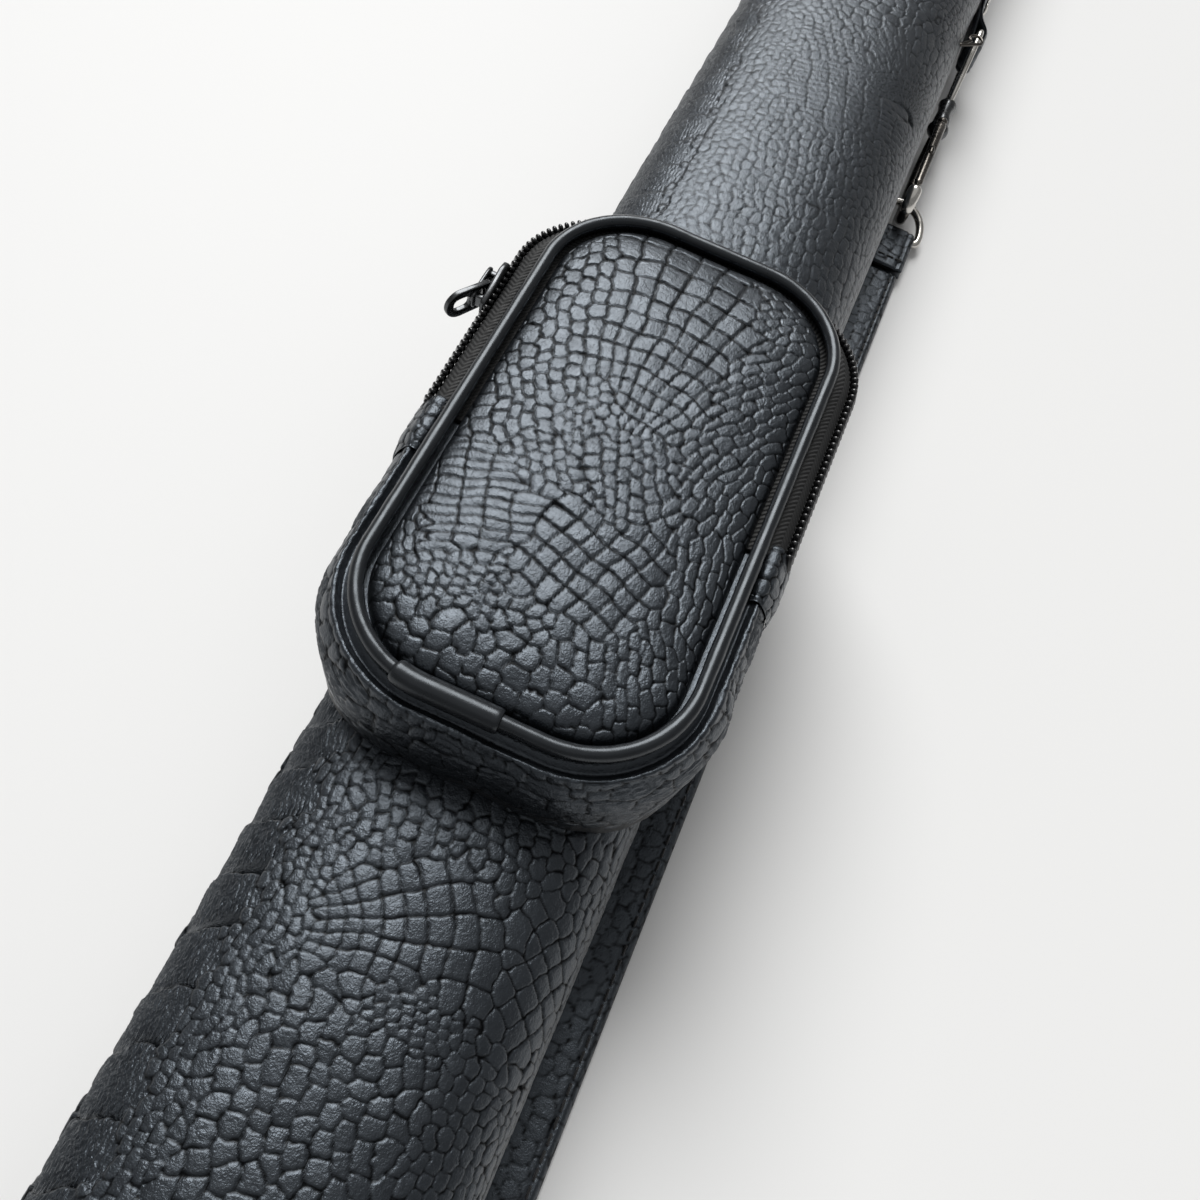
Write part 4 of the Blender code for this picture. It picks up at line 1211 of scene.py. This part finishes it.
COIL_PITCH = 0.0020
RIB_PITCH = 0.0013
WEFT_PITCH = 0.00056
FLAP_TAPE = [(-0.0030, 0.0655), (0.0000, 0.0656), (0.0020, 0.0662), (0.0042, 0.0662), (0.0062, 0.0655),
             (0.0079, 0.0643)]
FLAP_TAPE_BACK = [(0.0074, 0.0638), (0.0040, 0.0652), (0.0020, 0.0652), (-0.0030, 0.0647)]
REAR_TAPE = [(0.0083, 0.0622), (0.0084, 0.0600), (0.0082, 0.0578), (0.0078, 0.0556)]
REAR_TAPE_BACK = [(0.0069, 0.0556), (0.0072, 0.0618)]


def zip_tape(name, node, body, outer, inner):
    """Zip tape with raised herringbone ribs on its outer face."""
    places, normals, run = outline(0, 0.00022, "upper")
    curve = spline(outer, 38)
    width = float(run_along(curve)[-1])
    out = profile_normals(curve)
    out *= np.sign(out[0, 0] + out[0, 1])
    across = np.linspace(0, 1, len(curve)) * width
    chevron = np.abs(((across / 0.0056) % 1.0) - 0.5) * 2 * 0.0022
    rib = 0.5 + 0.5 * np.cos(math.tau * (run[:, None] + chevron[None, :]) / RIB_PITCH)
    weft = 0.5 + 0.5 * np.cos(math.tau * (run[:, None] - chevron[None, :]) / WEFT_PITCH)
    back_curve = spline(inner, 6)

    def moved_share(profile):
        """How much of the zip's shift a profile point takes: none at the sewn edge, all at the coil."""
        far = profile[:, 0] / 0.0079 if body == "flap" else (profile[:, 1] - 0.0556) / 0.0066
        return np.clip(far, 0, 1)[None, :]

    face = swept(places, normals, curve, out, 0.00034 * rib + 0.00004 * weft)
    face = tucked(face, normals, moved_share(curve))
    back = tucked(swept(places, normals, back_curve), normals, moved_share(back_curve))
    # The rib share also sets the tape's colour, as painted shade in the valleys between the ribs.
    made = lofted(name, np.concatenate([face, back], axis=1),
                  rib=then_zeros(0.75 * rib + 0.25 * weft, len(back_curve)))
    finish(made, TAPE, "zipper_tape", body, node)


def zip_teeth(name, node, body, offset, height, lean, shift):
    """The coil's turns on one tape: a slanted, bright-topped loop at each pitch."""
    places, normals, run = outline(offset, COIL_PITCH / 8, "upper")
    parts = []
    loop = capsule(0.0044, 0.00058, 12, 1.45)
    for k in range(int(run[-1] / COIL_PITCH)):
        at = (k + shift) * COIL_PITCH
        if at < 0.0012 or at > run[-1] - 0.0012:
            continue
        i = int(round(at / (run[1] - run[0])))
        n = np.array([*normals[i], 0])
        t = np.array([-normals[i][1], normals[i][0], 0])
        end = max(normals[i][0], 0) ** 1.5
        spot = np.array([POUCH_X + places[i][0], places[i][1], height - ZIP_END_DOWN * end])
        spot = spot - (ZIP_IN - 0.0006 + ZIP_END_IN * end) * n
        axis = np.array([0, 0, 1.0]) + lean * n + 0.42 * t
        parts.append(placed(loop, spot, axis, t))
    finish(joined(name, parts), COIL, "zipper_coil", body, node)


def build_zip():
    """The closed zip round the upper half of the pouch."""
    zip_tape("zip_tape_flap_weave", "zipper_tape_flap", "flap", FLAP_TAPE, FLAP_TAPE_BACK)
    zip_tape("zip_tape_rear_weave", "zipper_tape_rear", "case", REAR_TAPE, REAR_TAPE_BACK)
    zip_teeth("zip_teeth_rear", "zipper_coil_rear", "case", 0.0084, 0.0622, 0.10, 0.5)
    zip_teeth("zip_teeth_flap", "zipper_coil_flap", "flap", 0.0087, 0.0640, -0.25, 1.0)
    build_slider()


def bevelled(name, outline_points, low, high, to_world, bevel=0.0004, holes=()):
    """A plate with rounded edges. Its outline lies in its own plane, and to_world places it."""
    shape = bmesh.new()
    bottom = [shape.verts.new((*p, low)) for p in outline_points]
    face = shape.faces.new(bottom)
    made = bmesh.ops.extrude_face_region(shape, geom=[face])
    moved = [v for v in made["geom"] if isinstance(v, bmesh.types.BMVert)]
    bmesh.ops.translate(shape, verts=moved, vec=(0, 0, high - low))
    bmesh.ops.recalc_face_normals(shape, faces=shape.faces)
    mesh = bpy.data.meshes.new(name)
    shape.to_mesh(mesh)
    shape.free()
    piece = bpy.data.objects.new(name, mesh)
    bpy.context.scene.collection.objects.link(piece)
    for number, points in enumerate(holes):
        hole = bevelled(f"{name}_hole_{number}", points, low - 0.001, high + 0.001, Matrix(), 0)
        cut = piece.modifiers.new("Cut", "BOOLEAN")
        cut.operation, cut.object, cut.solver = "DIFFERENCE", hole, "EXACT"
        hole.hide_render = True
    if bevel:
        soft = piece.modifiers.new("Bevel", "BEVEL")
        soft.width, soft.segments, soft.limit_method, soft.angle_limit = bevel, 3, "ANGLE", math.radians(35)
    graph = bpy.context.evaluated_depsgraph_get()
    final = bpy.data.meshes.new_from_object(piece.evaluated_get(graph))
    piece.modifiers.clear()
    piece.data = final
    for number in range(len(holes)):
        bpy.data.objects.remove(bpy.data.objects[f"{name}_hole_{number}"])
    final.transform(to_world)
    final.shade_smooth()
    final.set_sharp_from_angle(angle=math.radians(40))
    return piece


def lens(half_length, half_width, power, count=40):
    """A smooth closed outline, between an ellipse and a rectangle as power grows from 2."""
    turns = [math.tau * k / count for k in range(count)]
    return [(half_length * math.copysign(abs(math.cos(t)) ** (2 / power), math.cos(t)),
             half_width * math.copysign(abs(math.sin(t)) ** (2 / power), math.sin(t))) for t in turns]


def build_slider():
    """The zip slider: a waisted plate, side rails, an arched bail and a pull with a window."""
    low, high = span("zipper_slider")
    x, z = float(low[0] + high[0]) / 2, float(low[2] + high[2]) / 2
    face = float(low[1]) - ZIP_IN
    half = float(high[0] - low[0]) / 2
    upright = Matrix(((1, 0, 0, x), (0, 0, 1, face), (0, 1, 0, z), (0, 0, 0, 1)))
    edge = [(-1, 0.0032), (-0.9, 0.0038), (-0.2, 0.0042), (0.4, 0.0053), (0.8, 0.0046), (1, 0.0026)]
    plate = [(half * u, v) for u, v in [*edge, (1.02, 0.0), *((u, -v) for u, v in edge[::-1])]]
    body = bevelled("slider_plate", plate, 0.0, 0.0015, upright, 0.0005)
    finish(body, GUNMETAL, "gunmetal", "slider", "zipper_slider")
    bridge = bevelled("slider_bridge", lens(0.0056, 0.0027, 4), 0.0036, 0.0046, upright, 0.0004)
    finish(bridge, GUNMETAL, "gunmetal", "slider")
    for name, u in (("slider_post_front", 0.0040), ("slider_post_back", -0.0040)):
        foot = [(u + dx, dz) for dx, dz in lens(0.0009, 0.0017, 4, 24)]
        post = bevelled(name, foot, 0.0012, 0.0040, upright, 0.0002)
        finish(post, GUNMETAL, "gunmetal", "slider")
    build_pull(x, face, z)


def build_pull(x, face, z):
    """The pull: a flat tab with a window, hanging from the bail by its slot."""
    low, high = span("zipper_pull")
    pivot = Vector((x - 0.001, face + 0.0026, z))
    far = Vector((float(low[0]), float(high[1]) - ZIP_IN, z)) - pivot
    turn = math.atan2(far.y, far.x)
    along = Vector((math.cos(turn), math.sin(turn), 0))
    across = Vector((0, 0, 1))
    thick = along.cross(across)
    place = Matrix.Translation(pivot) @ Matrix((along, across, thick)).transposed().to_4x4()
    turns = np.linspace(math.pi / 2, -math.pi / 2, 15)
    end = [(0.0074 + 0.0039 * math.cos(a), 0.0039 * math.sin(a)) for a in turns]
    tab = [(-0.0012, 0.0030), (-0.0004, 0.0036), *end, (-0.0004, -0.0036), (-0.0012, -0.0030)]
    window = [(0.0070 + u, v) for u, v in lens(0.0022, 0.0019, 3, 24)]
    slot = [(0.0018 + u, v) for u, v in lens(0.0013, 0.0024, 4, 20)]
    pull = bevelled("pull_tab", tab, -0.0007, 0.0007, place, 0.0003, holes=(window, slot))
    finish(pull, GUNMETAL, "gunmetal", "pull", "zipper_pull")


# ---- strap, rings, hooks ----------------------------------------------------------------------


def strap_hide(length, width, seed):
    patch = Patch(length / 2, 0, length, width, 4.4, 3.6, 0, 0.45)
    return Hide((-2, length + 2, -width, width), [patch], seed, 0.3, depth=0.42)


def padded_strip(name, centre_line, ups, half_width, thickness, hide, swell=0.0003, steps=44):
    """A turned-edge leather strip along a line: embossed on its face, plain behind, rounded at its sides."""
    centre_line, ups = np.asarray(centre_line), np.asarray(ups)
    run = run_along(centre_line)
    side = unit(np.cross(ups, unit(np.gradient(centre_line, axis=0))))
    share = np.linspace(-1, 1, steps)
    across = half_width * np.sin(share * math.pi / 2)
    low, groove, tone = hide.sample(run[:, None], across[None, :])
    edge = half_width - np.abs(across)
    face = thickness / 2 + swell * (1 - np.exp(-edge / 0.002)) - thickness / 2 * np.exp(-edge / 0.0006)
    seam = 0.00035 * np.exp(-((edge - 0.0022) / 0.0005) ** 2)
    top = face[None, :] - low - seam[None, :]
    back_across = across[::-3]
    back = -(thickness / 2) * (1 - np.exp(-(half_width - np.abs(back_across)) / 0.0006))
    grid_across = np.concatenate([across, back_across])
    height = np.concatenate([top, np.broadcast_to(back, (len(run), len(back)))], axis=1)
    points = centre_line[:, None, :] + side[:, None, :] * grid_across[None, :, None]
    points = points + ups[:, None, :] * height[:, :, None]
    return lofted(name, points, groove=then_zeros(groove, len(back)), tone=then_zeros(tone, len(back)))


def stitch_row(name, line, directions, normals, body, pitch=0.0036, radius=0.00030):
    """Sewn stitches lying end to end along a line, each a little bar sunk at its ends."""
    stitch = capsule(pitch * 0.78, radius)
    parts = [placed(stitch, p, d, np.cross(n, d)) for p, d, n in zip(line, directions, normals)]
    return finish(joined(name, parts), THREAD, "croc_leather", body)


def row_along(x0, x1, y, z, pitch=0.0036):
    """Places, directions and normals of stitches along the case."""
    count = int(abs(x1 - x0) / pitch)
    xs = x0 + (x1 - x0) * (np.arange(count) + 0.5) / count
    line = np.stack([xs, np.full(count, y), np.full(count, z)], -1)
    return line, np.tile([1.0, 0, 0], (count, 1)), np.tile([0, 0, 1.0], (count, 1))


def build_strap():
    """The carry strap flat on the floor beside the case, with its two stitched edges."""
    low, high = span("carry_strap")
    y, half = float(low[1] + high[1]) / 2, float(high[1] - low[1]) / 2
    thick = float(high[2] - low[2])
    x = np.arange(low[0], high[0], 0.0006)
    line = np.stack([x, np.full(len(x), y), thick / 2 + 0 * x], -1)
    hide = strap_hide(len(x) * 0.6, 12, 17)
    strap = padded_strip("strap_leather", line, np.tile([0, 0, 1.0], (len(x), 1)), half, thick, hide)
    finish(strap, CROC, "croc_leather", "case", "carry_strap")
    for label, way in (("outer", -1), ("inner", 1)):
        row = row_along(low[0] + 0.002, high[0] - 0.002, y + way * (half - 0.0022), thick)
        stitch_row(f"strap_stitches_{label}", *row, "case")
    for which in ("upper", "lower"):
        build_strap_end(which)
    build_loop()


HALF_TURN = np.linspace(0, math.pi, 9)


def build_strap_end(which):
    """One end of the strap: its fold round the ring, and the chain from the ring to the case's side."""
    way = 1 if which == "upper" else -1
    low, high = span(f"strap_fold_{which}")
    start = float(high[0] if way > 0 else low[0])
    back = float(low[0] if way > 0 else high[0])
    y, half = float(low[1] + high[1]) / 2, float(high[1] - low[1]) / 2
    ring_x, ring_z, turn = start - way * 0.0034, 0.0031, 0.0020

    def at(u, v, z):
        return np.array([start + way * u, v, z])

    arc = [(ring_x + way * turn * math.sin(a), y, ring_z - turn * math.cos(a)) for a in HALF_TURN]
    path = spline([(back, y, 0.0012), ((back + ring_x) / 2, y, 0.0011), *arc, (ring_x - way * 0.006, y, 0.0047),
                   (back, y, 0.0042)], 130)
    ups = unit(np.cross(np.gradient(path, axis=0), [0, way, 0]))
    outside = path[len(path) // 2] - np.array([ring_x, y, ring_z])
    if (ups[len(path) // 2] * outside).sum() < 0:
        ups = -ups
    hide = strap_hide(60, 10, 50 + way)
    fold = padded_strip(f"strap_fold_leather_{which}", path, ups, half, 0.0019, hide, 0.0002)
    finish(fold, CROC, "croc_leather", "case", f"strap_fold_{which}")
    bar_x = back + way * 0.0035
    ys = np.linspace(-half + 0.0025, half - 0.0025, 5) + y
    line = np.stack([np.full(5, bar_x), ys, np.full(5, 0.0055)], -1)
    directions, normals = np.tile([0, 1.0, 0], (5, 1)), np.tile([0, 0, 1.0], (5, 1))
    stitch_row(f"strap_bar_tack_{which}", line, directions, normals, "case", 0.0032)
    build_ring(which, way, ring_x, y, ring_z)
    build_hook(which, at)
    build_eye(which, at)
    build_anchor(which, at, way)


# The D ring's wire in the CAD and as drawn, and how far the ring leans
RING_R, RING_WIRE, RING_LEAN = 0.00125, 0.00135, math.radians(15)


def build_ring(which, way, x, y, z):
    """The D ring in the strap's fold."""
    low, high = span(f"strap_ring_{which}")
    half = float(high[1] - low[1]) / 2 - RING_R
    depth = (float(high[0] - low[0]) - 2 * RING_R) / math.cos(RING_LEAN)
    turns = np.linspace(-math.pi / 2, math.pi / 2, 25)
    flat = [(depth * math.cos(a) ** 0.8, half * math.sin(a)) for a in turns[1:-1]]
    flat = [(0.0, -half * 0.93), *flat, (0.0, half * 0.93), (-0.0003, half * 0.5), (-0.0003, -half * 0.5)]
    c, s = math.cos(RING_LEAN), math.sin(RING_LEAN)
    path = spline([(x + way * u * c, y + v, z + u * s) for u, v in flat], 110, closed=True)
    ring = rod(f"ring_wire_{which}", path, RING_WIRE, 18, closed=True)
    finish(ring, NICKEL, "nickel", f"ring_{which}", f"strap_ring_{which}")


HOOK_Y, HOOK_Z = -0.0425, 0.0115


def build_hook(which, at):
    """The snap hook: a bowed body thickest at its back, a collared stem, and its sprung gate."""

    def on_body(degrees):
        a = math.radians(degrees)
        c, s = (math.copysign(abs(value) ** 0.8, value) for value in (math.cos(a), math.sin(a)))
        return at(0.0225 + 0.0235 * c, HOOK_Y, HOOK_Z + 0.0095 * s)

    path = spline([on_body(35 - d) for d in range(0, 256, 12)], 90)
    share = np.linspace(0, 1, len(path))
    radius = 0.0015 + 0.0004 * np.sin(math.pi * np.clip(share * 1.15, 0, 1)) ** 2
    radius = radius + 0.0003 * np.exp(-((share - 1) / 0.08) ** 2)
    body = f"hook_{which}"
    finish(rod(f"hook_body_{which}", path, radius, 20, squash=1.15), BRONZE, "nickel", body, f"snap_hook_{which}")
    stem = [at(u, HOOK_Y, HOOK_Z) for u in (0.0440, 0.0448, 0.0455, 0.0464, 0.0472, 0.0478)]
    collar = rod(f"hook_collar_{which}", stem, [0.0026, 0.0034, 0.0037, 0.0037, 0.0034, 0.0027], 28)
    finish(collar, GUNMETAL, "nickel", body)
    tip = on_body(140) + (at(0.0030, 0, 0.0004) - at(0, 0, 0))
    pivot = at(0.0395, HOOK_Y, HOOK_Z + 0.0066)
    gate = spline([pivot, (pivot + tip) / 2 + np.array([0, 0, 0.0003]), tip], 30)
    finish(rod(f"gate_lever_{which}", gate, np.linspace(0.0014, 0.0011, 30), 16, squash=1.3), BRONZE, "nickel",
           f"gate_{which}", f"hook_gate_{which}")
    thumb = (pivot + tip) / 2 + np.array([0, 0, 0.0013])
    knob = [thumb + (tip - pivot) * s for s in (-0.04, 0.0, 0.04)]
    finish(rod(f"gate_thumb_{which}", knob, [0.0008, 0.0011, 0.0008], 14), BRONZE, "nickel", f"gate_{which}")
    finish(rod(f"hook_nose_{which}", path[-9:], radius[-9:] * 1.14, 18, squash=1.15), NICKEL, "nickel", body)


def build_eye(which, at):
    """The swivel's post and the wire eye that the anchor strap holds."""
    eye, bar = at(0.0610, HOOK_Y, HOOK_Z), at(0.0860, HOOK_Y, 0.0170)
    step = at(0.006, 0, 0) - at(0, 0, 0)
    half = 0.0092

    def lift(z):
        return np.array([0, 0, z])

    points = [eye + lift(0.0022), eye + step + lift(0.0074), bar - step + lift(half), bar + lift(half - 0.0015),
              bar + lift(0.0015 - half), bar - step - lift(half), eye + step - lift(0.0050), eye - lift(0.0022)]
    path = spline(points, 120, closed=True)
    wire = rod(f"eye_wire_{which}", path, 0.00115, 16, closed=True)
    finish(wire, NICKEL, "nickel", "case", f"swivel_eye_{which}")
    post = [at(u, HOOK_Y, HOOK_Z) for u in (0.0492, 0.0500, 0.0530, 0.0560, 0.0590, 0.0606, 0.0618)]
    post = rod(f"swivel_post_{which}", post, [0.0024, 0.0029, 0.0027, 0.0025, 0.0028, 0.0032, 0.0025], 24)
    finish(post, GUNMETAL, "nickel", "case")


def build_loop():
    """The little wire loop that stands out from the case's side above the upper anchor."""
    turns = np.linspace(-2.4, 2.4, 15)
    loop = [(0.1752 + 0.0023 * math.cos(a), -0.0416 + 0.0023 * math.sin(a), 0.031) for a in turns]
    points = [(0.1690, -0.0370, 0.031), *loop]
    finish(rod("side_loop", spline(points, 60, closed=True), 0.0005, 12, closed=True), BRONZE, "nickel", "case")


def build_anchor(which, at, way):
    """The short strap round the eye's bar, flat against the case's side under two rivets."""
    low, high = span(f"anchor_strap_{which}")
    z = float(low[2] + high[2]) / 2
    half = float(high[2] - low[2]) / 2
    outside = -(HALF_WIDTH + 0.0019)
    bar = at(0.0860, HOOK_Y, z)
    turn = 0.0021
    arc = [bar + np.array([-way * turn * math.sin(a), turn * math.cos(a), 0]) for a in HALF_TURN]
    tail = [at(0.0920, HOOK_Y - 0.0020, z), at(0.0990, outside - 0.0014, z), at(0.1080, outside, z),
            at(0.1300, outside, z)]
    path = spline([at(0.1040, -HALF_WIDTH - 0.0012, z), at(0.0960, -0.0400, z), *arc, *tail], 150)
    ups = unit(np.cross(np.gradient(path, axis=0), [0, 0, 1.0]))
    if ups[-10, 1] > 0:
        ups = -ups
    hide = strap_hide(90, 9, 60 + way)
    strap = padded_strip(f"anchor_leather_{which}", path, ups, half, 0.0017, hide, 0.0002, 32)
    finish(strap, CROC, "croc_leather", "case", f"anchor_strap_{which}")
    for label in ("inner", "outer"):
        node = f"anchor_rivet_{which}_{label}"
        rivet(f"{node}_head", node, "case", (0, -1, 0))


def rivet(name, node, body, out, height=0.0013):
    """A domed rivet head with a rolled rim."""
    low, high = span(node)
    out = np.array(out, float)
    middle = (low + high) / 2
    size = high - low
    radius = float(np.sort(size)[-1]) / 2
    base = middle - out * (np.abs(out) * size).sum() / 2
    tangent = np.cross(out, [0.0, 0, 1.0]) if abs(out[2]) < 0.5 else np.array([1.0, 0, 0])
    other = np.cross(out, tangent)
    profile = spline([(0.92, 0.0), (1.0, 0.25), (0.95, 0.52), (0.84, 0.60), (0.62, 0.82), (0.35, 0.96), (0.03, 1.0)], 24)
    turns = np.arange(32) * math.tau / 32
    circle = np.outer(np.cos(turns), tangent) + np.outer(np.sin(turns), other)
    rings = [base + out * rise * height + radius * wide * circle for wide, rise in profile]
    finish(lofted(name, rings), NICKEL, "nickel", body, node)


# ---- closure ----------------------------------------------------------------------------------


def build_closure():
    """The lid's leather tongue with its snap."""
    low, high = span("closure_strap")
    patch_end = float(span("closure_patch")[1][0])
    half, thick = float(high[1] - low[1]) / 2, float(high[2] - low[2])
    z = float(low[2] + high[2]) / 2
    pivot = float(high[0])
    x = np.arange(float(low[0]), patch_end, 0.0006)
    hide = strap_hide(100, 14, 71)
    centre = float(low[0]) + half
    reach = np.where(x < centre, np.sqrt(np.maximum(half**2 - (centre - x) ** 2, 0.0009**2)), half)
    share = np.sin(np.linspace(-1, 1, 44) * math.pi / 2)
    run = x - x[0]
    across = reach[:, None] * share[None, :]
    depth, groove, tone = hide.sample(run[:, None], across)
    edge = np.minimum(reach[:, None] - np.abs(across), run[:, None] + 0.0003)
    edge = np.minimum(edge, (x[-1] - x)[:, None] + 0.0003)
    face = thick / 2 * (1 - np.exp(-edge / 0.0005)) + 0.0003 * (1 - np.exp(-edge / 0.002))
    seam = 0.0003 * np.exp(-((edge - 0.0021) / 0.0005) ** 2)
    top = z + face - 0.6 * depth - seam
    back_across = across[:, ::-3]
    back_edge = reach[:, None] - np.abs(back_across)
    back = z - thick / 2 * (1 - np.exp(-back_edge / 0.0005))
    grid_y = np.concatenate([across, back_across], axis=1)
    grid_z = np.concatenate([top, back], axis=1)
    points = np.stack([np.broadcast_to(x[:, None], grid_y.shape), grid_y, grid_z], -1)
    plain = back.shape[1]
    tongue = lofted("closure_tongue", points, groove=then_zeros(groove, plain), tone=then_zeros(tone, plain))
    finish(tongue, CROC, "croc_leather", ("lid", "closure", (pivot + 0.003, 0, z), (pivot - 0.004, 0, z)),
           "closure_strap", "closure_patch")
    for side in ("left", "right"):
        rivet(f"closure_rivet_{side}_head", f"closure_rivet_{side}", "lid", (0, 0, 1), 0.0016)
    low, high = span("snap_cap")
    rivet("snap_cap_head", "snap_cap", "closure", (0, 0, 1), float(high[2] - low[2]))
    repaint(NICKEL, "snap_stud")


# ---- setting ----------------------------------------------------------------------------------

# The camera's place, and the directions of its picture's right and lower edges
CAMERA_PLACE = (POUCH_X - 0.15698, -0.02132, 0.27807)
CAMERA_RIGHT = (0.37649, -0.91055, 0.17074)
CAMERA_DOWN = (-0.77913, -0.41092, -0.47340)


def build_camera():
    """The photograph's viewpoint: above the case between pouch and base, looking towards the lid."""
    camera = bpy.data.objects.new("camera", bpy.data.cameras.new("camera"))
    camera.data.sensor_width = 36
    camera.data.lens = 36
    camera.data.clip_start = 0.01
    right, up = Vector(CAMERA_RIGHT).normalized(), -Vector(CAMERA_DOWN).normalized()
    back = right.cross(up)
    camera.matrix_world = Matrix.Translation(CAMERA_PLACE) @ Matrix((right, up, back)).transposed().to_4x4()
    bpy.context.scene.collection.objects.link(camera)
    bpy.context.scene.camera = camera


def broad_sun(name, source, width, power, colour):
    """Light from a disc of the given width in degrees, far away in the direction of source."""
    light = bpy.data.objects.new(name, bpy.data.lights.new(name, "SUN"))
    light.data.angle = math.radians(width)
    light.data.energy = power
    light.data.color = colour
    light.rotation_euler = (-Vector(source)).to_track_quat("-Z", "Y").to_euler()
    bpy.context.scene.collection.objects.link(light)


def build_setting():
    """A pale floor under a dim sky, with a broad light beyond the lid on the zip side and a dim one above."""
    bpy.ops.mesh.primitive_plane_add(size=6, location=(0, 0, -0.0002))
    floor = bpy.context.object
    floor.name = "floor"
    look = Look("pale_floor", (0.77, 0.77, 0.77), 0.6)
    look.colour(look.mixed(look.noise(3, 2), (0.765, 0.765, 0.765), (0.78, 0.778, 0.775)))
    floor.data.materials.append(look.material)
    world = bpy.data.worlds.new("soft_sky")
    bpy.context.scene.world = world
    world.use_nodes = True
    sky = world.node_tree.nodes["Background"]
    sky.inputs["Color"].default_value = (1.0, 1.0, 1.0, 1)
    sky.inputs["Strength"].default_value = 0.24
    broad_sun("window_light", (0.58, 0.33, 0.74), 40, 3.35, (1.0, 1.0, 0.99))
    broad_sun("ceiling_light", (-0.05, 0.10, 1.0), 80, 0.26, (1.0, 1.0, 0.99))
    bpy.context.scene.view_settings.view_transform = "Standard"


build_camera()
build_setting()
build_case()
build_panel()
build_piping()
build_gusset()
build_zip()
build_strap()
build_closure()
